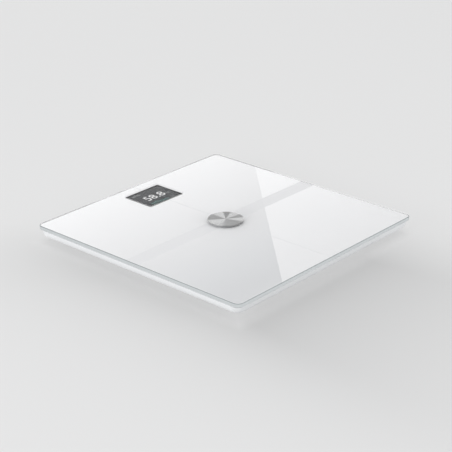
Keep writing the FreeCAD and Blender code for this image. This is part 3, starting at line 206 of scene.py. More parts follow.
# %% The finish class
class Finish:
    """One node material and the short names used to write it."""

    def __init__(self, name):
        self.material = bpy.data.materials.new(name)
        self.material.use_nodes = True
        self.tree = self.material.node_tree
        self.tree.nodes.clear()

    def plug(self, socket, value):
        """Puts a number, a colour or another node's output into a socket."""
        if isinstance(value, Sock):
            self.tree.links.new(value.socket, socket)
        elif isinstance(value, (tuple, list)) and len(value) == 3 and socket.type == "RGBA":
            socket.default_value = (*value, 1.0)
        else:
            socket.default_value = value

    def node(self, kind, settings=None, inputs=None, output=0):
        made = self.tree.nodes.new(kind)
        for name, value in (settings or {}).items():
            if name == "stops":
                self.set_stops(made.color_ramp, value)
            else:
                setattr(made, name, value)
        for name, value in (inputs or {}).items():
            self.plug(made.inputs[name], value)
        return Sock(self, made.outputs[output])

    @staticmethod
    def set_stops(ramp, stops):
        for element, (place, colour) in zip(ramp.elements, (stops[0], stops[-1])):
            element.position = place
            element.color = (*colour, 1.0)
        for place, colour in stops[1:-1]:
            ramp.elements.new(place).color = (*colour, 1.0)

    def place(self):
        """The point's own position in the model's frame, in metres."""
        return self.node("ShaderNodeTexCoord", output="Object")

    def parts(self, vector):
        """A vector's x, y and z."""
        made = self.tree.nodes.new("ShaderNodeSeparateXYZ")
        self.plug(made.inputs[0], vector)
        return [Sock(self, made.outputs[k]) for k in range(3)]

    def join(self, x, y, z):
        return self.node("ShaderNodeCombineXYZ", inputs={0: x, 1: y, 2: z})

    def vector(self, operation, *values):
        """Vector Math on vectors, with a plain number as the scale."""
        inputs = {index: value for index, value in enumerate(values)}
        if operation == "SCALE":
            inputs = {0: values[0], "Scale": values[1]}
        return self.node("ShaderNodeVectorMath", {"operation": operation}, inputs)

    def noise(self, vector, scale, detail=3.0, roughness=0.5):
        inputs = {"Vector": vector, "Scale": scale, "Detail": detail, "Roughness": roughness}
        return self.node("ShaderNodeTexNoise", inputs=inputs)

    def blend(self, share, first, second):
        """Between two colours, by a share from 0 to 1."""
        made = self.tree.nodes.new("ShaderNodeMix")
        made.data_type = "RGBA"
        self.plug(made.inputs[0], share)
        self.plug(made.inputs[6], first)
        self.plug(made.inputs[7], second)
        return Sock(self, made.outputs[2])

    def bump(self, height, distance, strength=1.0):
        inputs = {"Height": height, "Distance": distance, "Strength": strength}
        return self.node("ShaderNodeBump", inputs=inputs)

    def mix(self, share, first, second):
        """Between two shaders, by a share from 0 to 1."""
        return self.node("ShaderNodeMixShader", inputs={0: share, 1: first, 2: second})

    def principled(self, **inputs):
        named = {name.replace("_", " "): value for name, value in inputs.items()}
        return self.node("ShaderNodeBsdfPrincipled", inputs=named)

    def done(self, shader):
        out = self.tree.nodes.new("ShaderNodeOutputMaterial")
        self.tree.links.new(shader.socket, out.inputs["Surface"])
        return self.material

# %% [markdown]
# ## A floor like a light table
#
# Pale products are shot on paper that is lit from below as well as from above, so that the floor stays
# bright and shadows stay light. The floor here does the same: part of its light is its own and part is
# reflected. A soft pool of shade under the far side of the light stands for the large lamps of a
# real studio, whose half-shadow no small scene can catch. From below the paper is see-through, so the
# underside can be looked at.

# %% Lay the floor
FORWARD = Vector((-CAMERA_FROM_GLASS.x, -CAMERA_FROM_GLASS.y, 0)).normalized()
SIDEWAYS = Vector((FORWARD.y, -FORWARD.x, 0))
FLOOR_HALF = 6.0
FLOOR_GLOW = (0.386, 0.386, 0.386)
FLOOR_PAPER = (0.40, 0.40, 0.40)
POOL_MIDDLE = (-0.045, -0.0325)
POOL_HALF = (0.1075, 0.15)
POOL_SPREAD = 0.21
POOL_SQUEEZE = 2.75
POOL_DEPTH = 0.52
bpy.context.scene.view_settings.view_transform = "Standard"


def stage_sheet(name, corners, material):
    """A flat four-cornered piece of the studio, which isn't part of the scale."""
    mesh = bpy.data.meshes.new(name)
    mesh.from_pydata(corners, [], [range(len(corners))])
    mesh.materials.append(material)
    sheet = bpy.data.objects.new(name, mesh)
    bpy.context.scene.collection.objects.link(sheet)
    sheet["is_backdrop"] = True
    return sheet


def floor_paper():
    """Self-lit paper with a soft pool of shade, see-through from below."""
    paper = Finish("floor_paper")
    x, y, z = paper.parts(paper.place())
    across = ((x - POOL_MIDDLE[0]).size() - POOL_HALF[0]).at_least(0)
    along = ((y - POOL_MIDDLE[1]).size() - POOL_HALF[1]).at_least(0)
    across = across * POOL_SQUEEZE
    distance = (across * across + along * along) ** 0.5
    clear_of = x.size().greater(y.size()) - PLATFORM / 2
    depth = x * FORWARD.x + y * FORWARD.y - (x * SIDEWAYS.x + y * SIDEWAYS.y) * 0.15
    before = 1 - depth.smooth(-0.10, 0.10)
    shade = distance.fade(POOL_SPREAD) * POOL_DEPTH * before * clear_of.smooth(-0.016, 0.016)
    front = paper.principled(
        Base_Color=FLOOR_PAPER, Roughness=1.0, Specular_IOR_Level=0.0,
        Emission_Color=paper.blend(shade, FLOOR_GLOW, (0, 0, 0)), Emission_Strength=1.0,
    )
    behind = paper.node("ShaderNodeNewGeometry", output="Backfacing")
    clear = paper.node("ShaderNodeBsdfTransparent")
    return paper.done(paper.mix(behind, front, clear))


floor_corners = [(i * FLOOR_HALF, j * FLOOR_HALF, 0) for i, j in ((-1, -1), (1, -1), (1, 1), (-1, 1))]
stage_sheet("floor", floor_corners, floor_paper())
print("forward", [round(v, 3) for v in FORWARD], "sideways", [round(v, 3) for v in SIDEWAYS])

# %% [markdown]
# ## Light: a pale room, a tall lamp behind and a low one on the left
#
# A flat glossy thing shows whatever stands on the far side of it. So the lamp that matters most here
# is the tall soft one behind the scale: it is what the glass mirrors. It is brightest low down and
# fades upwards, and a seam in its cloth divides it into a brighter right half and a cooler left half.
# The same lamp sends a little light forward over the floor. A low lamp on the left brightens that side
# of the tray, and the room itself fills in the rest.

# %% Light the room
ROOM_LIGHT = (0.66, 0.665, 0.67)
LAMP_DISTANCE = 2.5
LAMP_HALF_WIDTH = 2.0
LAMP_LOW, LAMP_HIGH = 0.05, 2.0
SEAM_SIDE, SEAM_HEIGHT, SEAM_LEAN = 0.144, 1.155, 0.228
MIDDLE_HEIGHT = 1.111
LEFT_LIGHT, LEFT_FADE = 0.90, 3.9
RIGHT_LIGHT, RIGHT_FADE = 1.34, 2.6
DIMMEST, BRIGHTEST = 0.3, 1.75
world = bpy.data.worlds.new("pale_room")
world.use_nodes = True
world.node_tree.nodes["Background"].inputs["Color"].default_value = (*ROOM_LIGHT, 1.0)
bpy.context.scene.world = world


def tall_lamp():
    """The lamp's cloth: brighter low down, with a seam between its halves."""
    cloth = Finish("tall_lamp")
    x, y, z = cloth.parts(cloth.place())
    side = x * SIDEWAYS.x + y * SIDEWAYS.y
    drop = (MIDDLE_HEIGHT - z) * 0.571 - side * 0.2855
    left = (drop * LEFT_FADE + LEFT_LIGHT).at_least(DIMMEST).at_most(BRIGHTEST)
    right = (drop * RIGHT_FADE + RIGHT_LIGHT).at_least(DIMMEST).at_most(BRIGHTEST)
    seam = side - (z - SEAM_HEIGHT) * SEAM_LEAN > SEAM_SIDE
    level = left + (right - left) * seam
    cool = cloth.blend(drop.smooth(-0.16, 0.0), (0.93, 1.0, 1.04), (1.0, 1.0, 1.0))
    tint = cloth.blend(seam, cool, (1.0, 1.0, 1.0))
    colour = cloth.vector("SCALE", tint, level)
    glow = cloth.principled(
        Base_Color=(0, 0, 0), Specular_IOR_Level=0.0, Emission_Color=colour, Emission_Strength=1.0
    )
    behind = cloth.node("ShaderNodeNewGeometry", output="Backfacing")
    clear = cloth.node("ShaderNodeBsdfTransparent")
    return cloth.done(cloth.mix(behind, glow, clear))


def hang_lamp(name, distance, half_width, low, high, material):
    """A sheet that stands beyond the scale and faces the camera's side."""
    middle = FORWARD * distance
    left, right = middle - SIDEWAYS * half_width, middle + SIDEWAYS * half_width
    corners = [
        (left.x, left.y, low), (right.x, right.y, low), (right.x, right.y, high), (left.x, left.y, high)
    ]
    lamp = stage_sheet(name, corners, material)
    lamp.visible_camera = False
    return lamp


def soft_light(name, place, aim, width, height, power):
    """A rectangular lamp that the camera doesn't see."""
    light = bpy.data.lights.new(name, "AREA")
    light.shape = "RECTANGLE"
    light.size, light.size_y, light.energy = width, height, power
    lamp = bpy.data.objects.new(name, light)
    bpy.context.scene.collection.objects.link(lamp)
    lamp.location = place
    lamp.rotation_euler = (Vector(aim) - Vector(place)).to_track_quat("-Z", "Y").to_euler()
    lamp.visible_camera = False
    lamp.visible_glossy = False
    return lamp


hang_lamp("tall_lamp", LAMP_DISTANCE, LAMP_HALF_WIDTH, LAMP_LOW, LAMP_HIGH, tall_lamp())
soft_light("left_lamp", (-2.2, 0.2, 0.4), (0, 0, 0), 1.8, 0.6, 20)
soft_light("near_lamp", (0.9, -2.2, 0.5), (0, 0, 0), 1.8, 0.6, 12)
soft_light("ceiling_lamp", (0, 0, 2.6), (0, 0, 0), 2.4, 2.4, 17)
print("lamp from", LAMP_LOW, "to", LAMP_HIGH, "m high")

# %% [markdown]
# ## Drawing flat sheets
#
# The ink, the electrode coating and the display are all flat sheets with round corners and holes. A
# filled 2D curve makes them cleanly, because it fills any outline and treats an outline inside another
# as a hole. It is turned into a mesh at once, so what is kept is a plain closed shape.

# %% Outline and sheet helpers
CORNER_STEPS = 10


def outline(corners):
    """Points round a closed shape of (x, y, radius) corners, with an arc at each radius."""
    points = []
    for k, (x, y, radius) in enumerate(corners):
        here = Vector((x, y))
        before = (Vector(corners[k - 1][:2]) - here).normalized()
        after = (Vector(corners[(k + 1) % len(corners)][:2]) - here).normalized()
        if radius == 0:
            points.append(here)
            continue
        half = before.angle(after) / 2
        centre = here + (before + after).normalized() * radius / math.sin(half)
        start = here + before * radius / math.tan(half) - centre
        turn = (math.pi - 2 * half) * (1 if before.cross(after) < 0 else -1)
        for step in range(CORNER_STEPS + 1):
            points.append(centre + Matrix.Rotation(turn * step / CORNER_STEPS, 2) @ start)
    return points


def rounded(x0, x1, y0, y1, radius):
    """Outline of an upright rectangle with round corners."""
    return outline([(x0, y0, radius), (x1, y0, radius), (x1, y1, radius), (x0, y1, radius)])


def circle(radius, steps=96):
    angles = [2 * math.pi * k / steps for k in range(steps)]
    return [Vector((radius * math.cos(a), radius * math.sin(a))) for a in angles]


def link_piece(name, mesh, material, body):
    """Puts a finished mesh in the scene on its body."""
    mesh.name = name
    if material is not None:
        mesh.materials.append(material)
    piece = bpy.data.objects.new(name, mesh)
    bpy.context.scene.collection.objects.link(piece)
    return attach(piece, body)


def closed_mesh(mesh, shift=Vector((0, 0, 0))):
    """Joins what touches and moves the mesh to its place."""
    bm = bmesh.new()
    bm.from_mesh(mesh)
    bmesh.ops.remove_doubles(bm, verts=bm.verts, dist=1e-6)
    bmesh.ops.translate(bm, verts=bm.verts, vec=shift)
    bmesh.ops.recalc_face_normals(bm, faces=bm.faces)
    bm.to_mesh(mesh)
    bm.free()
    return mesh


def flat_piece(name, outlines, low, high, material, body="scale_body"):
    """A sheet from outlines, between two heights."""
    curve = bpy.data.curves.new(name, "CURVE")
    curve.dimensions = "2D"
    curve.fill_mode = "BOTH"
    curve.extrude = (high - low) / 2
    for points in outlines:
        spline = curve.splines.new("POLY")
        spline.points.add(len(points) - 1)
        for point, (x, y) in zip(spline.points, points):
            point.co = (x, y, 0, 1)
        spline.use_cyclic_u = True
    drawn = bpy.data.objects.new(name + "_curve", curve)
    mesh = bpy.data.meshes.new_from_object(drawn)
    bpy.data.objects.remove(drawn)
    closed_mesh(mesh, Vector((0, 0, (low + high) / 2)))
    return link_piece(name, mesh, material, body)


print("corner of 10 mm:", len(outline([(0, 0, 0), (0.01, 0, 0.002), (0.01, 0.01, 0)])), "points")

# %% [markdown]
# ## Glass
#
# The platform is a sheet of polished tempered glass. Light reaches the ink through it and comes back,
# which a renderer finds by luck only, because each crossing bends the ray. So rays that carry light to
# a surface pass straight through, and only what the eye follows is bent. The gloss of the bare face
# rises towards grazing angles more gently than on plain glass, as it does on a face with a coating
# against glare.

# %% Glass finish
GLASS_IOR = 1.5
GLASS_TINT = (0.975, 0.975, 0.975)
EDGE_TINT = (0.74, 0.77, 0.77)
# Painted shade: the chamfers take a far darker tint than the same glass elsewhere, which draws a thin dark
# line along the edges.
ARRIS_PAINTED_SHADE = (0.34, 0.38, 0.38)


def clear_glass():
    glass = Finish("clear_glass")
    facing = glass.node("ShaderNodeLayerWeight", None, {"Blend": 0.5}, "Facing")
    path = glass.tree.nodes.new("ShaderNodeLightPath")
    lit = Sock(glass, path.outputs["Is Shadow Ray"]) + Sock(glass, path.outputs["Is Diffuse Ray"])
    smudge = glass.noise(glass.place(), 9.0, 4.0).smooth(0.45, 0.75)
    gloss = glass.node("ShaderNodeBsdfGlossy", None, {"Roughness": smudge * 0.03 + 0.01})
    x, y, up = glass.parts(glass.node("ShaderNodeNewGeometry", output="Normal"))
    face, edge, arris, inside = [
        glass.node(kind, None, {"Color": tint, "Roughness": rough, "IOR": GLASS_IOR})
        for kind, tint, rough in (
            ("ShaderNodeBsdfRefraction", GLASS_TINT, 0.0), ("ShaderNodeBsdfGlass", EDGE_TINT, 0.05),
            ("ShaderNodeBsdfGlass", ARRIS_PAINTED_SHADE, 0.25), ("ShaderNodeBsdfGlass", (1, 1, 1), 0.0),
        )
    ]
    behind = glass.node("ShaderNodeNewGeometry", output="Backfacing")
    within = (behind + (up < -0.95)).at_most(1)
    # Side faces take the edge tint, and the chamfers take the darker painted shade.
    rim = glass.mix(within, glass.mix(up.size() > 0.3, edge, arris), inside)
    bend = glass.mix(up > 0.95, rim, face)
    clear = glass.node("ShaderNodeBsdfTransparent", None, {"Color": (0.99, 0.99, 0.99)})
    seen = glass.mix(facing ** 7 + 0.01, bend, gloss)
    return glass.done(glass.mix(lit, seen, clear))


# %% [markdown]
# ## White ink behind the glass
#
# The ink is screen-printed on the underside of the glass in several passes and is what makes the
# platform white. It is opaque and even, with the display window left out. It touches the glass with no
# air between, so its sheet reaches a hair into the glass.

# %% Ink
INK_WHITE = (0.82, 0.82, 0.83)


def white_ink():
    ink = Finish("white_ink")
    cloud = ink.noise(ink.place(), 14.0, 3.0)
    colour = ink.blend(cloud, INK_WHITE, tuple(0.985 * c for c in INK_WHITE))
    return ink.done(ink.principled(Base_Color=colour, Roughness=0.7, Specular_IOR_Level=0.0))


ink_outer = rounded(ink_low.x, ink_high.x, ink_low.y, ink_high.y, GLASS_CORNER - INK_MARGIN)
window_half = (WINDOW[0] / 2, WINDOW[1] / 2)
window = rounded(
    DISPLAY_X - window_half[0], DISPLAY_X + window_half[0],
    DISPLAY_Y - window_half[1], DISPLAY_Y + window_half[1], 2 * MM,
)
ink_piece = flat_piece(
    "printed_ink", [ink_outer, window, circle(6.2 * MM)],
    ink_low.z + 0.02 * MM, ink_high.z + 0.03 * MM, white_ink(),
)
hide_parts("back_print")
print("ink", len(ink_piece.data.polygons), "faces")

# %% [markdown]
# ## Electrodes on the glass
#
# Four transparent conductive coatings lie on the glass, left and right for toes and heels, with an
# uncoated band between. They can't be seen by their colour, only by their shine: the coating mirrors
# the room more strongly than bare glass. So the finish is clear, with a mirror whose share grows
# towards grazing angles by Schlick's formula.

# %% Electrode coating
FILM_MIRROR = 0.15


def electrode_film():
    film = Finish("electrode_film")
    facing = film.node("ShaderNodeLayerWeight", None, {"Blend": 0.5}, "Facing")
    front = 1 - film.node("ShaderNodeNewGeometry", output="Backfacing")
    share = (facing ** 5 * (1 - FILM_MIRROR) + FILM_MIRROR) * front
    mirror = film.node("ShaderNodeBsdfGlossy", None, {"Color": (1, 1, 1), "Roughness": 0.012})
    clear = film.node("ShaderNodeBsdfTransparent", None, {"Color": (1, 1, 1)})
    path = film.tree.nodes.new("ShaderNodeLightPath")
    lit = Sock(film, path.outputs["Is Shadow Ray"]) + Sock(film, path.outputs["Is Diffuse Ray"])
    return film.done(film.mix(share * (1 - lit), clear, mirror))


def electrode_outline(side_x, side_y, low, high):
    """One coating's outline, with the display window left out of the toe pair."""
    inner = min(abs(low.x), abs(high.x)) * side_x
    outer = max(abs(low.x), abs(high.x)) * side_x
    near = min(abs(low.y), abs(high.y)) * side_y
    far = max(abs(low.y), abs(high.y)) * side_y
    corners = [(inner, near, 0), (outer, near, 0), (outer, far, GLASS_CORNER - FILM_MARGIN), (inner, far, 0)]
    if side_y > 0:
        gap = 0.6 * MM
        notch_x = side_x * (window_half[0] + gap)
        top, bottom = DISPLAY_Y + window_half[1] + gap, DISPLAY_Y - window_half[1] - gap
        corners += [(inner, top, 0), (notch_x, top, 2 * MM), (notch_x, bottom, 2 * MM), (inner, bottom, 0)]
    return outline(corners)


film_finish = electrode_film()
for name, side_x, side_y in (
    ("toe_left", -1, 1), ("toe_right", 1, 1), ("heel_left", -1, -1), ("heel_right", 1, -1)
):
    low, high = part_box("electrode_" + name)
    shape = electrode_outline(side_x, side_y, low, high)
    coating = flat_piece("coating_" + name, [shape], low.z + 0.02 * MM, low.z + 0.08 * MM, film_finish)
    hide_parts("electrode_" + name)
print("four coatings made")

# %% [markdown]
# ## Finishes for everything else
#
# Each slot of the model's record gets one finish. Moulded plastic carries a fine grain from its tool.
# Rubber is matt with a dusty bloom. Plated parts are bright and a little uneven, cut steel shows the
# direction it was ground in, and circuit boards show copper tracks under their lacquer.

# %% Plastics, rubber and foam
def moulded_plastic(name, colour, roughness=0.45, grain=0.02 * MM):
    """Plastic with a fine tooled grain and a slight unevenness of shine."""
    plastic = Finish(name)
    place = plastic.place()
    cloud = plastic.noise(place, 40.0, 2.0)
    fine = plastic.noise(place, 2600.0, 2.0)
    shade = tuple(0.95 * c for c in colour)
    return plastic.done(plastic.principled(
        Base_Color=plastic.blend(cloud, colour, shade), Roughness=cloud * 0.12 + (roughness - 0.06),
        Normal=plastic.bump(fine, grain), IOR=1.46,
    ))


def matt_stuff(name, colour, bloom, cells, depth):
    """Rubber, foam and silicone: matt, with a bloom and small cells."""
    stuff = Finish(name)
    place = stuff.place()
    dust = stuff.noise(place, 90.0, 4.0).smooth(0.35, 0.8)
    pores = stuff.noise(place, cells, 2.0)
    return stuff.done(stuff.principled(
        Base_Color=stuff.blend(dust, colour, bloom), Roughness=0.8,
        Specular_IOR_Level=0.3, Normal=stuff.bump(pores, depth),
    ))


# %% Metals, film and boards
def metal(name, colour, roughness, drag=None):
    """A metal part. Ground metal gets scratches drawn out along one direction."""
    part = Finish(name)
    place = part.place()
    if drag is not None:
        place = part.vector("MULTIPLY", place, drag)
    marks = part.noise(place, 900.0, 3.0)
    shade = tuple(0.86 * c for c in colour)
    return part.done(part.principled(
        Base_Color=part.blend(marks, colour, shade), Metallic=1.0,
        Roughness=marks * 0.16 + (roughness - 0.08), Normal=part.bump(marks, 0.004 * MM),
    ))


def circuit_board(name, lacquer, track):
    """Lacquered board with tracks that run square and bright tinned pads."""
    board = Finish(name)
    x, y, z = board.parts(board.place())
    bend = board.noise(board.place(), 55.0, 0.0) * (6 * MM)
    lanes = ((x + bend).wave(2.1 * MM) > 0.62) * (y.wave(31 * MM) > -0.35)
    rows = ((y + bend).wave(2.6 * MM) > 0.7) * (x.wave(23 * MM) > 0.1)
    tracks = (lanes + rows).at_most(1)
    dots = (x.wave(3.4 * MM) > 0.96) * (y.wave(3.9 * MM) > 0.96)
    colour = board.blend(dots, board.blend(tracks, lacquer, track), (0.75, 0.74, 0.70))
    return board.done(board.principled(
        Base_Color=colour, Roughness=0.35, Metallic=dots,
        Normal=board.bump(tracks, 0.03 * MM), Coat_Weight=0.3,
    ))


def clear_moulding(name, colour):
    """A light guide: milky acrylic with printed dots that scatter light."""
    guide = Finish(name)
    x, y, z = guide.parts(guide.place())
    dots = (x.wave(1.2 * MM) * y.wave(1.2 * MM)).smooth(0.1, 0.6)
    return guide.done(guide.principled(
        Base_Color=guide.blend(dots, colour, (0.95, 0.96, 0.97)), Roughness=0.2,
        Coat_Weight=0.4,
    ))


def cable_jacket(name, colour):
    """Soft jacket with a slight waviness from its strands."""
    jacket = Finish(name)
    place = jacket.place()
    strands = jacket.noise(place, 700.0, 1.0)
    shade = tuple(0.7 * c for c in colour)
    return jacket.done(jacket.principled(
        Base_Color=jacket.blend(strands.smooth(0.3, 0.7), colour, shade), Roughness=0.42,
        Normal=jacket.bump(strands, 0.05 * MM),
    ))


# %% [markdown]
# ## Paper and print: the rating label and the battery wraps
#
# Labels carry lines of small print. At the size that it has here print reads as grey bars broken by
# gaps, so a wave gives the lines, a noise stretched across them gives the words, and a margin is kept
# clear all round.

# %% Label and battery wrap
label_low, label_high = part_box("rating_label")


def rating_label():
    label = Finish("label_film")
    place = label.place()
    x, y, z = label.parts(place)
    middle_x, middle_y = (label_low.x + label_high.x) / 2, (label_low.y + label_high.y) / 2
    half_x, half_y = (label_high.x - label_low.x) / 2, (label_high.y - label_low.y) / 2
    inside = ((x - middle_x).size() < half_x * 0.88) * ((y - middle_y).size() < half_y * 0.8)
    lines = y.wave(3.0 * MM) > 0.1
    words = label.noise(label.vector("MULTIPLY", place, (1.0, 0.06, 0.0)), 620.0, 1.0) > 0.48
    ink = inside * lines * words
    frame_line = ((x - middle_x).size() > half_x * 0.94) * 0.6
    colour = label.blend(ink + frame_line, (0.62, 0.63, 0.64), (0.09, 0.09, 0.1))
    return label.done(label.principled(Base_Color=colour, Roughness=0.4, Coat_Weight=0.2))


def battery_wrap(way):
    """Shrink wrap in two colours with a pale band and printed words along it."""
    wrap = Finish("battery_wrap")
    place = wrap.place()
    x, y, z = wrap.parts(place)
    start = BATTERY_LOW.y if way > 0 else BATTERY_HIGH.y
    along = (y - start) / (way * (BATTERY_HIGH.y - BATTERY_LOW.y))
    band = (along > 0.68) * (along < 0.72)
    copper = along > 0.72
    body = wrap.blend(copper, (0.03, 0.032, 0.036), (0.55, 0.32, 0.12))
    words = wrap.noise(wrap.vector("MULTIPLY", place, (0.5, 1.0, 0.5)), 480.0, 1.0) > 0.58
    print_area = (along > 0.2) * (along < 0.6) * words
    colour = wrap.blend(band + print_area * 0.8, body, (0.72, 0.72, 0.7))
    return wrap.done(wrap.principled(
        Base_Color=colour, Roughness=0.3, Metallic=copper * 0.7, Coat_Weight=0.5,
    ))


BATTERY_LOW, BATTERY_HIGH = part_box("battery_1")
print("label", [round(v / MM, 1) for v in label_high - label_low], "mm")

# %% [markdown]
# ## Give every node its finish
#
# The table goes from the slot names in the model's record to the finishes, and each node takes the one
# that its slot asks for.

# %% Apply the finishes
finishes = {
    "clear_glass": clear_glass(),
    "white_ink": white_ink(),
    "electrode_film": film_finish,
    "white_plastic": moulded_plastic("white_plastic", (0.80, 0.81, 0.82)),
    "grey_plastic": moulded_plastic("grey_plastic", (0.36, 0.37, 0.38), 0.5),
    "ivory_plastic": moulded_plastic("ivory_plastic", (0.78, 0.72, 0.58), 0.4),
    "black_plastic": moulded_plastic("black_plastic", (0.02, 0.02, 0.021), 0.4),
    "black_epoxy": moulded_plastic("black_epoxy", (0.025, 0.025, 0.027), 0.55),
    "capacitor_sleeve": moulded_plastic("capacitor_sleeve", (0.03, 0.05, 0.12), 0.35),
    "amber_film": moulded_plastic("amber_film", (0.50, 0.20, 0.03), 0.3),
    "foam_tape": matt_stuff("foam_tape", (0.70, 0.70, 0.68), (0.78, 0.78, 0.76), 1500.0, 0.1 * MM),
    "black_foam": matt_stuff("black_foam", (0.02, 0.02, 0.02), (0.05, 0.05, 0.05), 1800.0, 0.1 * MM),
    "foot_rubber": matt_stuff("foot_rubber", (0.27, 0.28, 0.29), (0.36, 0.36, 0.36), 1200.0, 0.03 * MM),
    "conductive_rubber": matt_stuff(
        "conductive_rubber", (0.025, 0.025, 0.028), (0.06, 0.06, 0.06), 1200.0, 0.02 * MM
    ),
    "silicone": matt_stuff("silicone", (0.75, 0.76, 0.76), (0.82, 0.82, 0.82), 300.0, 0.05 * MM),
    "brushed_steel": metal("brushed_steel", (0.62, 0.61, 0.60), 0.3),
    "plated_steel": metal("plated_steel", (0.68, 0.67, 0.65), 0.28),
    "tinned_can": metal("tinned_can", (0.66, 0.67, 0.68), 0.32, (1.0, 0.08, 1.0)),
    "load_cell_steel": metal("load_cell_steel", (0.56, 0.56, 0.57), 0.36, (0.06, 1.0, 1.0)),
    "gauge_foil": metal("gauge_foil", (0.62, 0.42, 0.20), 0.4),
    "green_board": circuit_board("green_board", (0.02, 0.14, 0.05), (0.05, 0.26, 0.10)),
    "light_guide": clear_moulding("light_guide", (0.80, 0.82, 0.84)),
    "display_glass": moulded_plastic("display_glass", (0.02, 0.022, 0.025), 0.12, 0.0),
    "label_film": rating_label(),
    "battery_wrap": battery_wrap(1),
    "grey_cable": cable_jacket("grey_cable", (0.30, 0.31, 0.32)),
    "red_cable": cable_jacket("red_cable", (0.55, 0.03, 0.02)),
    "black_cable": cable_jacket("black_cable", (0.02, 0.02, 0.02)),
}


def paint(piece, material):
    piece.data.materials.clear()
    piece.data.materials.append(material)


slot_of = {row["node"]: row["material_slot"] for row in frame["record"]["subparts"]}
for name, node in nodes.items():
    paint(node, finishes[slot_of[name]])
print(len(nodes), "nodes painted with", len(set(slot_of.values())), "finishes")

# %% [markdown]
# ## The turned steel disc
#
# The round metal plate in the middle is turned and then brushed on a lathe, so its scratches are
# circles. Light caught by such scratches comes back in fans that reach from the middle to the rim, and
# a fan stands wherever a scratch can tip a mirror towards something bright. Tilting the surface
# outwards and inwards by a noise that depends on the radius alone gives such fans. The fans are also
# painted into the base colour as light and dark tones by angle round the disc: a painted reflection.

# %% Turn the disc
def turned_piece(name, profile, material, middle=(0, 0, 0), steps=128, way=0, looped=False):
    """A shape swept round Z, or round Y with the given way, from (radius, height) points.

    It is closed where the radius is nought. A looped profile joins its last point to its first.
    """
    bm = bmesh.new()
    rings = []
    for radius, height in profile:
        count = steps if radius > 1e-7 else 1
        ring = []
        for k in range(count):
            angle = 2 * math.pi * k / count
            ring.append(bm.verts.new((radius * math.cos(angle), radius * math.sin(angle), height)))
        rings.append(ring)
    pairs = list(zip(rings, rings[1:] + (rings[:1] if looped else [])))
    for lower, upper in pairs:
        for k in range(steps):
            around = (k + 1) % steps
            if len(lower) == 1:
                bm.faces.new((lower[0], upper[around], upper[k]))
            elif len(upper) == 1:
                bm.faces.new((lower[k], lower[around], upper[0]))
            else:
                bm.faces.new((lower[k], lower[around], upper[around], upper[k]))
    if way:
        bmesh.ops.rotate(bm, verts=bm.verts, matrix=Matrix.Rotation(math.radians(-90 * way), 3, "X"))
    bmesh.ops.translate(bm, verts=bm.verts, vec=middle)
    bmesh.ops.recalc_face_normals(bm, faces=bm.faces)
    mesh = bpy.data.meshes.new(name)
    bm.to_mesh(mesh)
    bm.free()
    mesh.shade_smooth()
    mesh.set_sharp_from_angle(angle=math.radians(38))
    return link_piece(name, mesh, material, "scale_body")


def rounded_edge(radius, height, bend, start, finish, steps=6):
    """Points of an arc with its middle at (radius, height), between two angles in degrees."""
    angles = [math.radians(start + (finish - start) * k / steps) for k in range(steps + 1)]
    return [(radius + bend * math.cos(a), height + bend * math.sin(a)) for a in angles]


SCRATCH_TILT = 0.42
# Painted reflection: light and dark fans by angle round the disc, laid into the base colour as tones.
PAINTED_FAN_START = math.radians(-48.4)
PAINTED_FANS = [
    (0, 0.66), (10, 0.62), (16, 0.31), (36, 0.33), (44, 0.62), (68, 0.60), (78, 0.24), (96, 0.26), (104, 0.66),
    (132, 0.62), (144, 0.33), (184, 0.29), (192, 0.60), (215, 0.68), (250, 0.60), (268, 0.36), (330, 0.31),
    (342, 0.52), (350, 0.64), (360, 0.66),
]


def turned_steel():
    steel = Finish("turned_steel")
    x, y, z = steel.parts(steel.place())
    radius = (x * x + y * y) ** 0.5
    outward = steel.vector("NORMALIZE", steel.join(x, y, 0.0))
    line = {"noise_dimensions": "1D"}
    lines = steel.node("ShaderNodeTexNoise", line, {"W": radius, "Scale": 5200.0, "Detail": 2.0})
    normal = steel.node("ShaderNodeNewGeometry", output="Normal")
    tilt = steel.vector("SCALE", outward, (lines - 0.5) * SCRATCH_TILT)
    tipped = steel.vector("NORMALIZE", steel.vector("ADD", normal, tilt))
    turn = steel.node("ShaderNodeMath", {"operation": "ARCTAN2"}, {0: y, 1: x}) - PAINTED_FAN_START
    share = steel.node("ShaderNodeMath", {"operation": "FRACT"}, {0: turn / (2 * math.pi) + 1})
    stops = [(angle / 360, (tone, tone, tone)) for angle, tone in PAINTED_FANS]
    painted_fans = steel.node("ShaderNodeValToRGB", {"stops": stops}, {0: share})
    # The base colour carries the painted reflection fans, with the scratch lines mixed in.
    colour = steel.blend(lines * 0.25, painted_fans, (0.42, 0.415, 0.41))
    return steel.done(steel.principled(
        Base_Color=colour, Metallic=1.0, Roughness=0.26, Normal=tipped,
    ))


DISC_R = (disc_high.x - disc_low.x) / 2
DISC_HEAD = 1.2 * MM
STUD_R = 2.0 * MM
HAIR = 0.01 * MM
bend = 0.35 * MM
top = disc_high.z - HAIR
rim = DISC_R - HAIR
under = disc_high.z - DISC_HEAD + HAIR
profile = [(0, disc_low.z + HAIR), (STUD_R - bend, disc_low.z + HAIR), (STUD_R - HAIR, disc_low.z + bend)]
profile += [(STUD_R - HAIR, under), (rim - 0.15 * MM, under), (rim, under + 0.15 * MM)]
profile += rounded_edge(rim - bend, top - bend, bend, 0, 90)
profile += [(rim - 3 * bend, top), (0, top)]
disc_piece = turned_piece("turned_disc", profile, turned_steel())
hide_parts("centre_disc")
print("disc radius", round(DISC_R / MM, 2), "mm, from", round(disc_low.z / MM, 2), "to", round(top / MM, 2))

# %% [markdown]
# ## The display
#
# The panel under the window is dark with a slightly lighter active area. Its digits give off light and
# are real thin shapes on the panel's face, with a small clock at the top left and a trend line over a
# tinted patch at the bottom, as on a scale that remembers earlier readings.

# %% Panel
PANEL_FACE = panel_high.z - 0.08 * MM
ACTIVE_HALF = (28.2 * MM, 21.7 * MM)


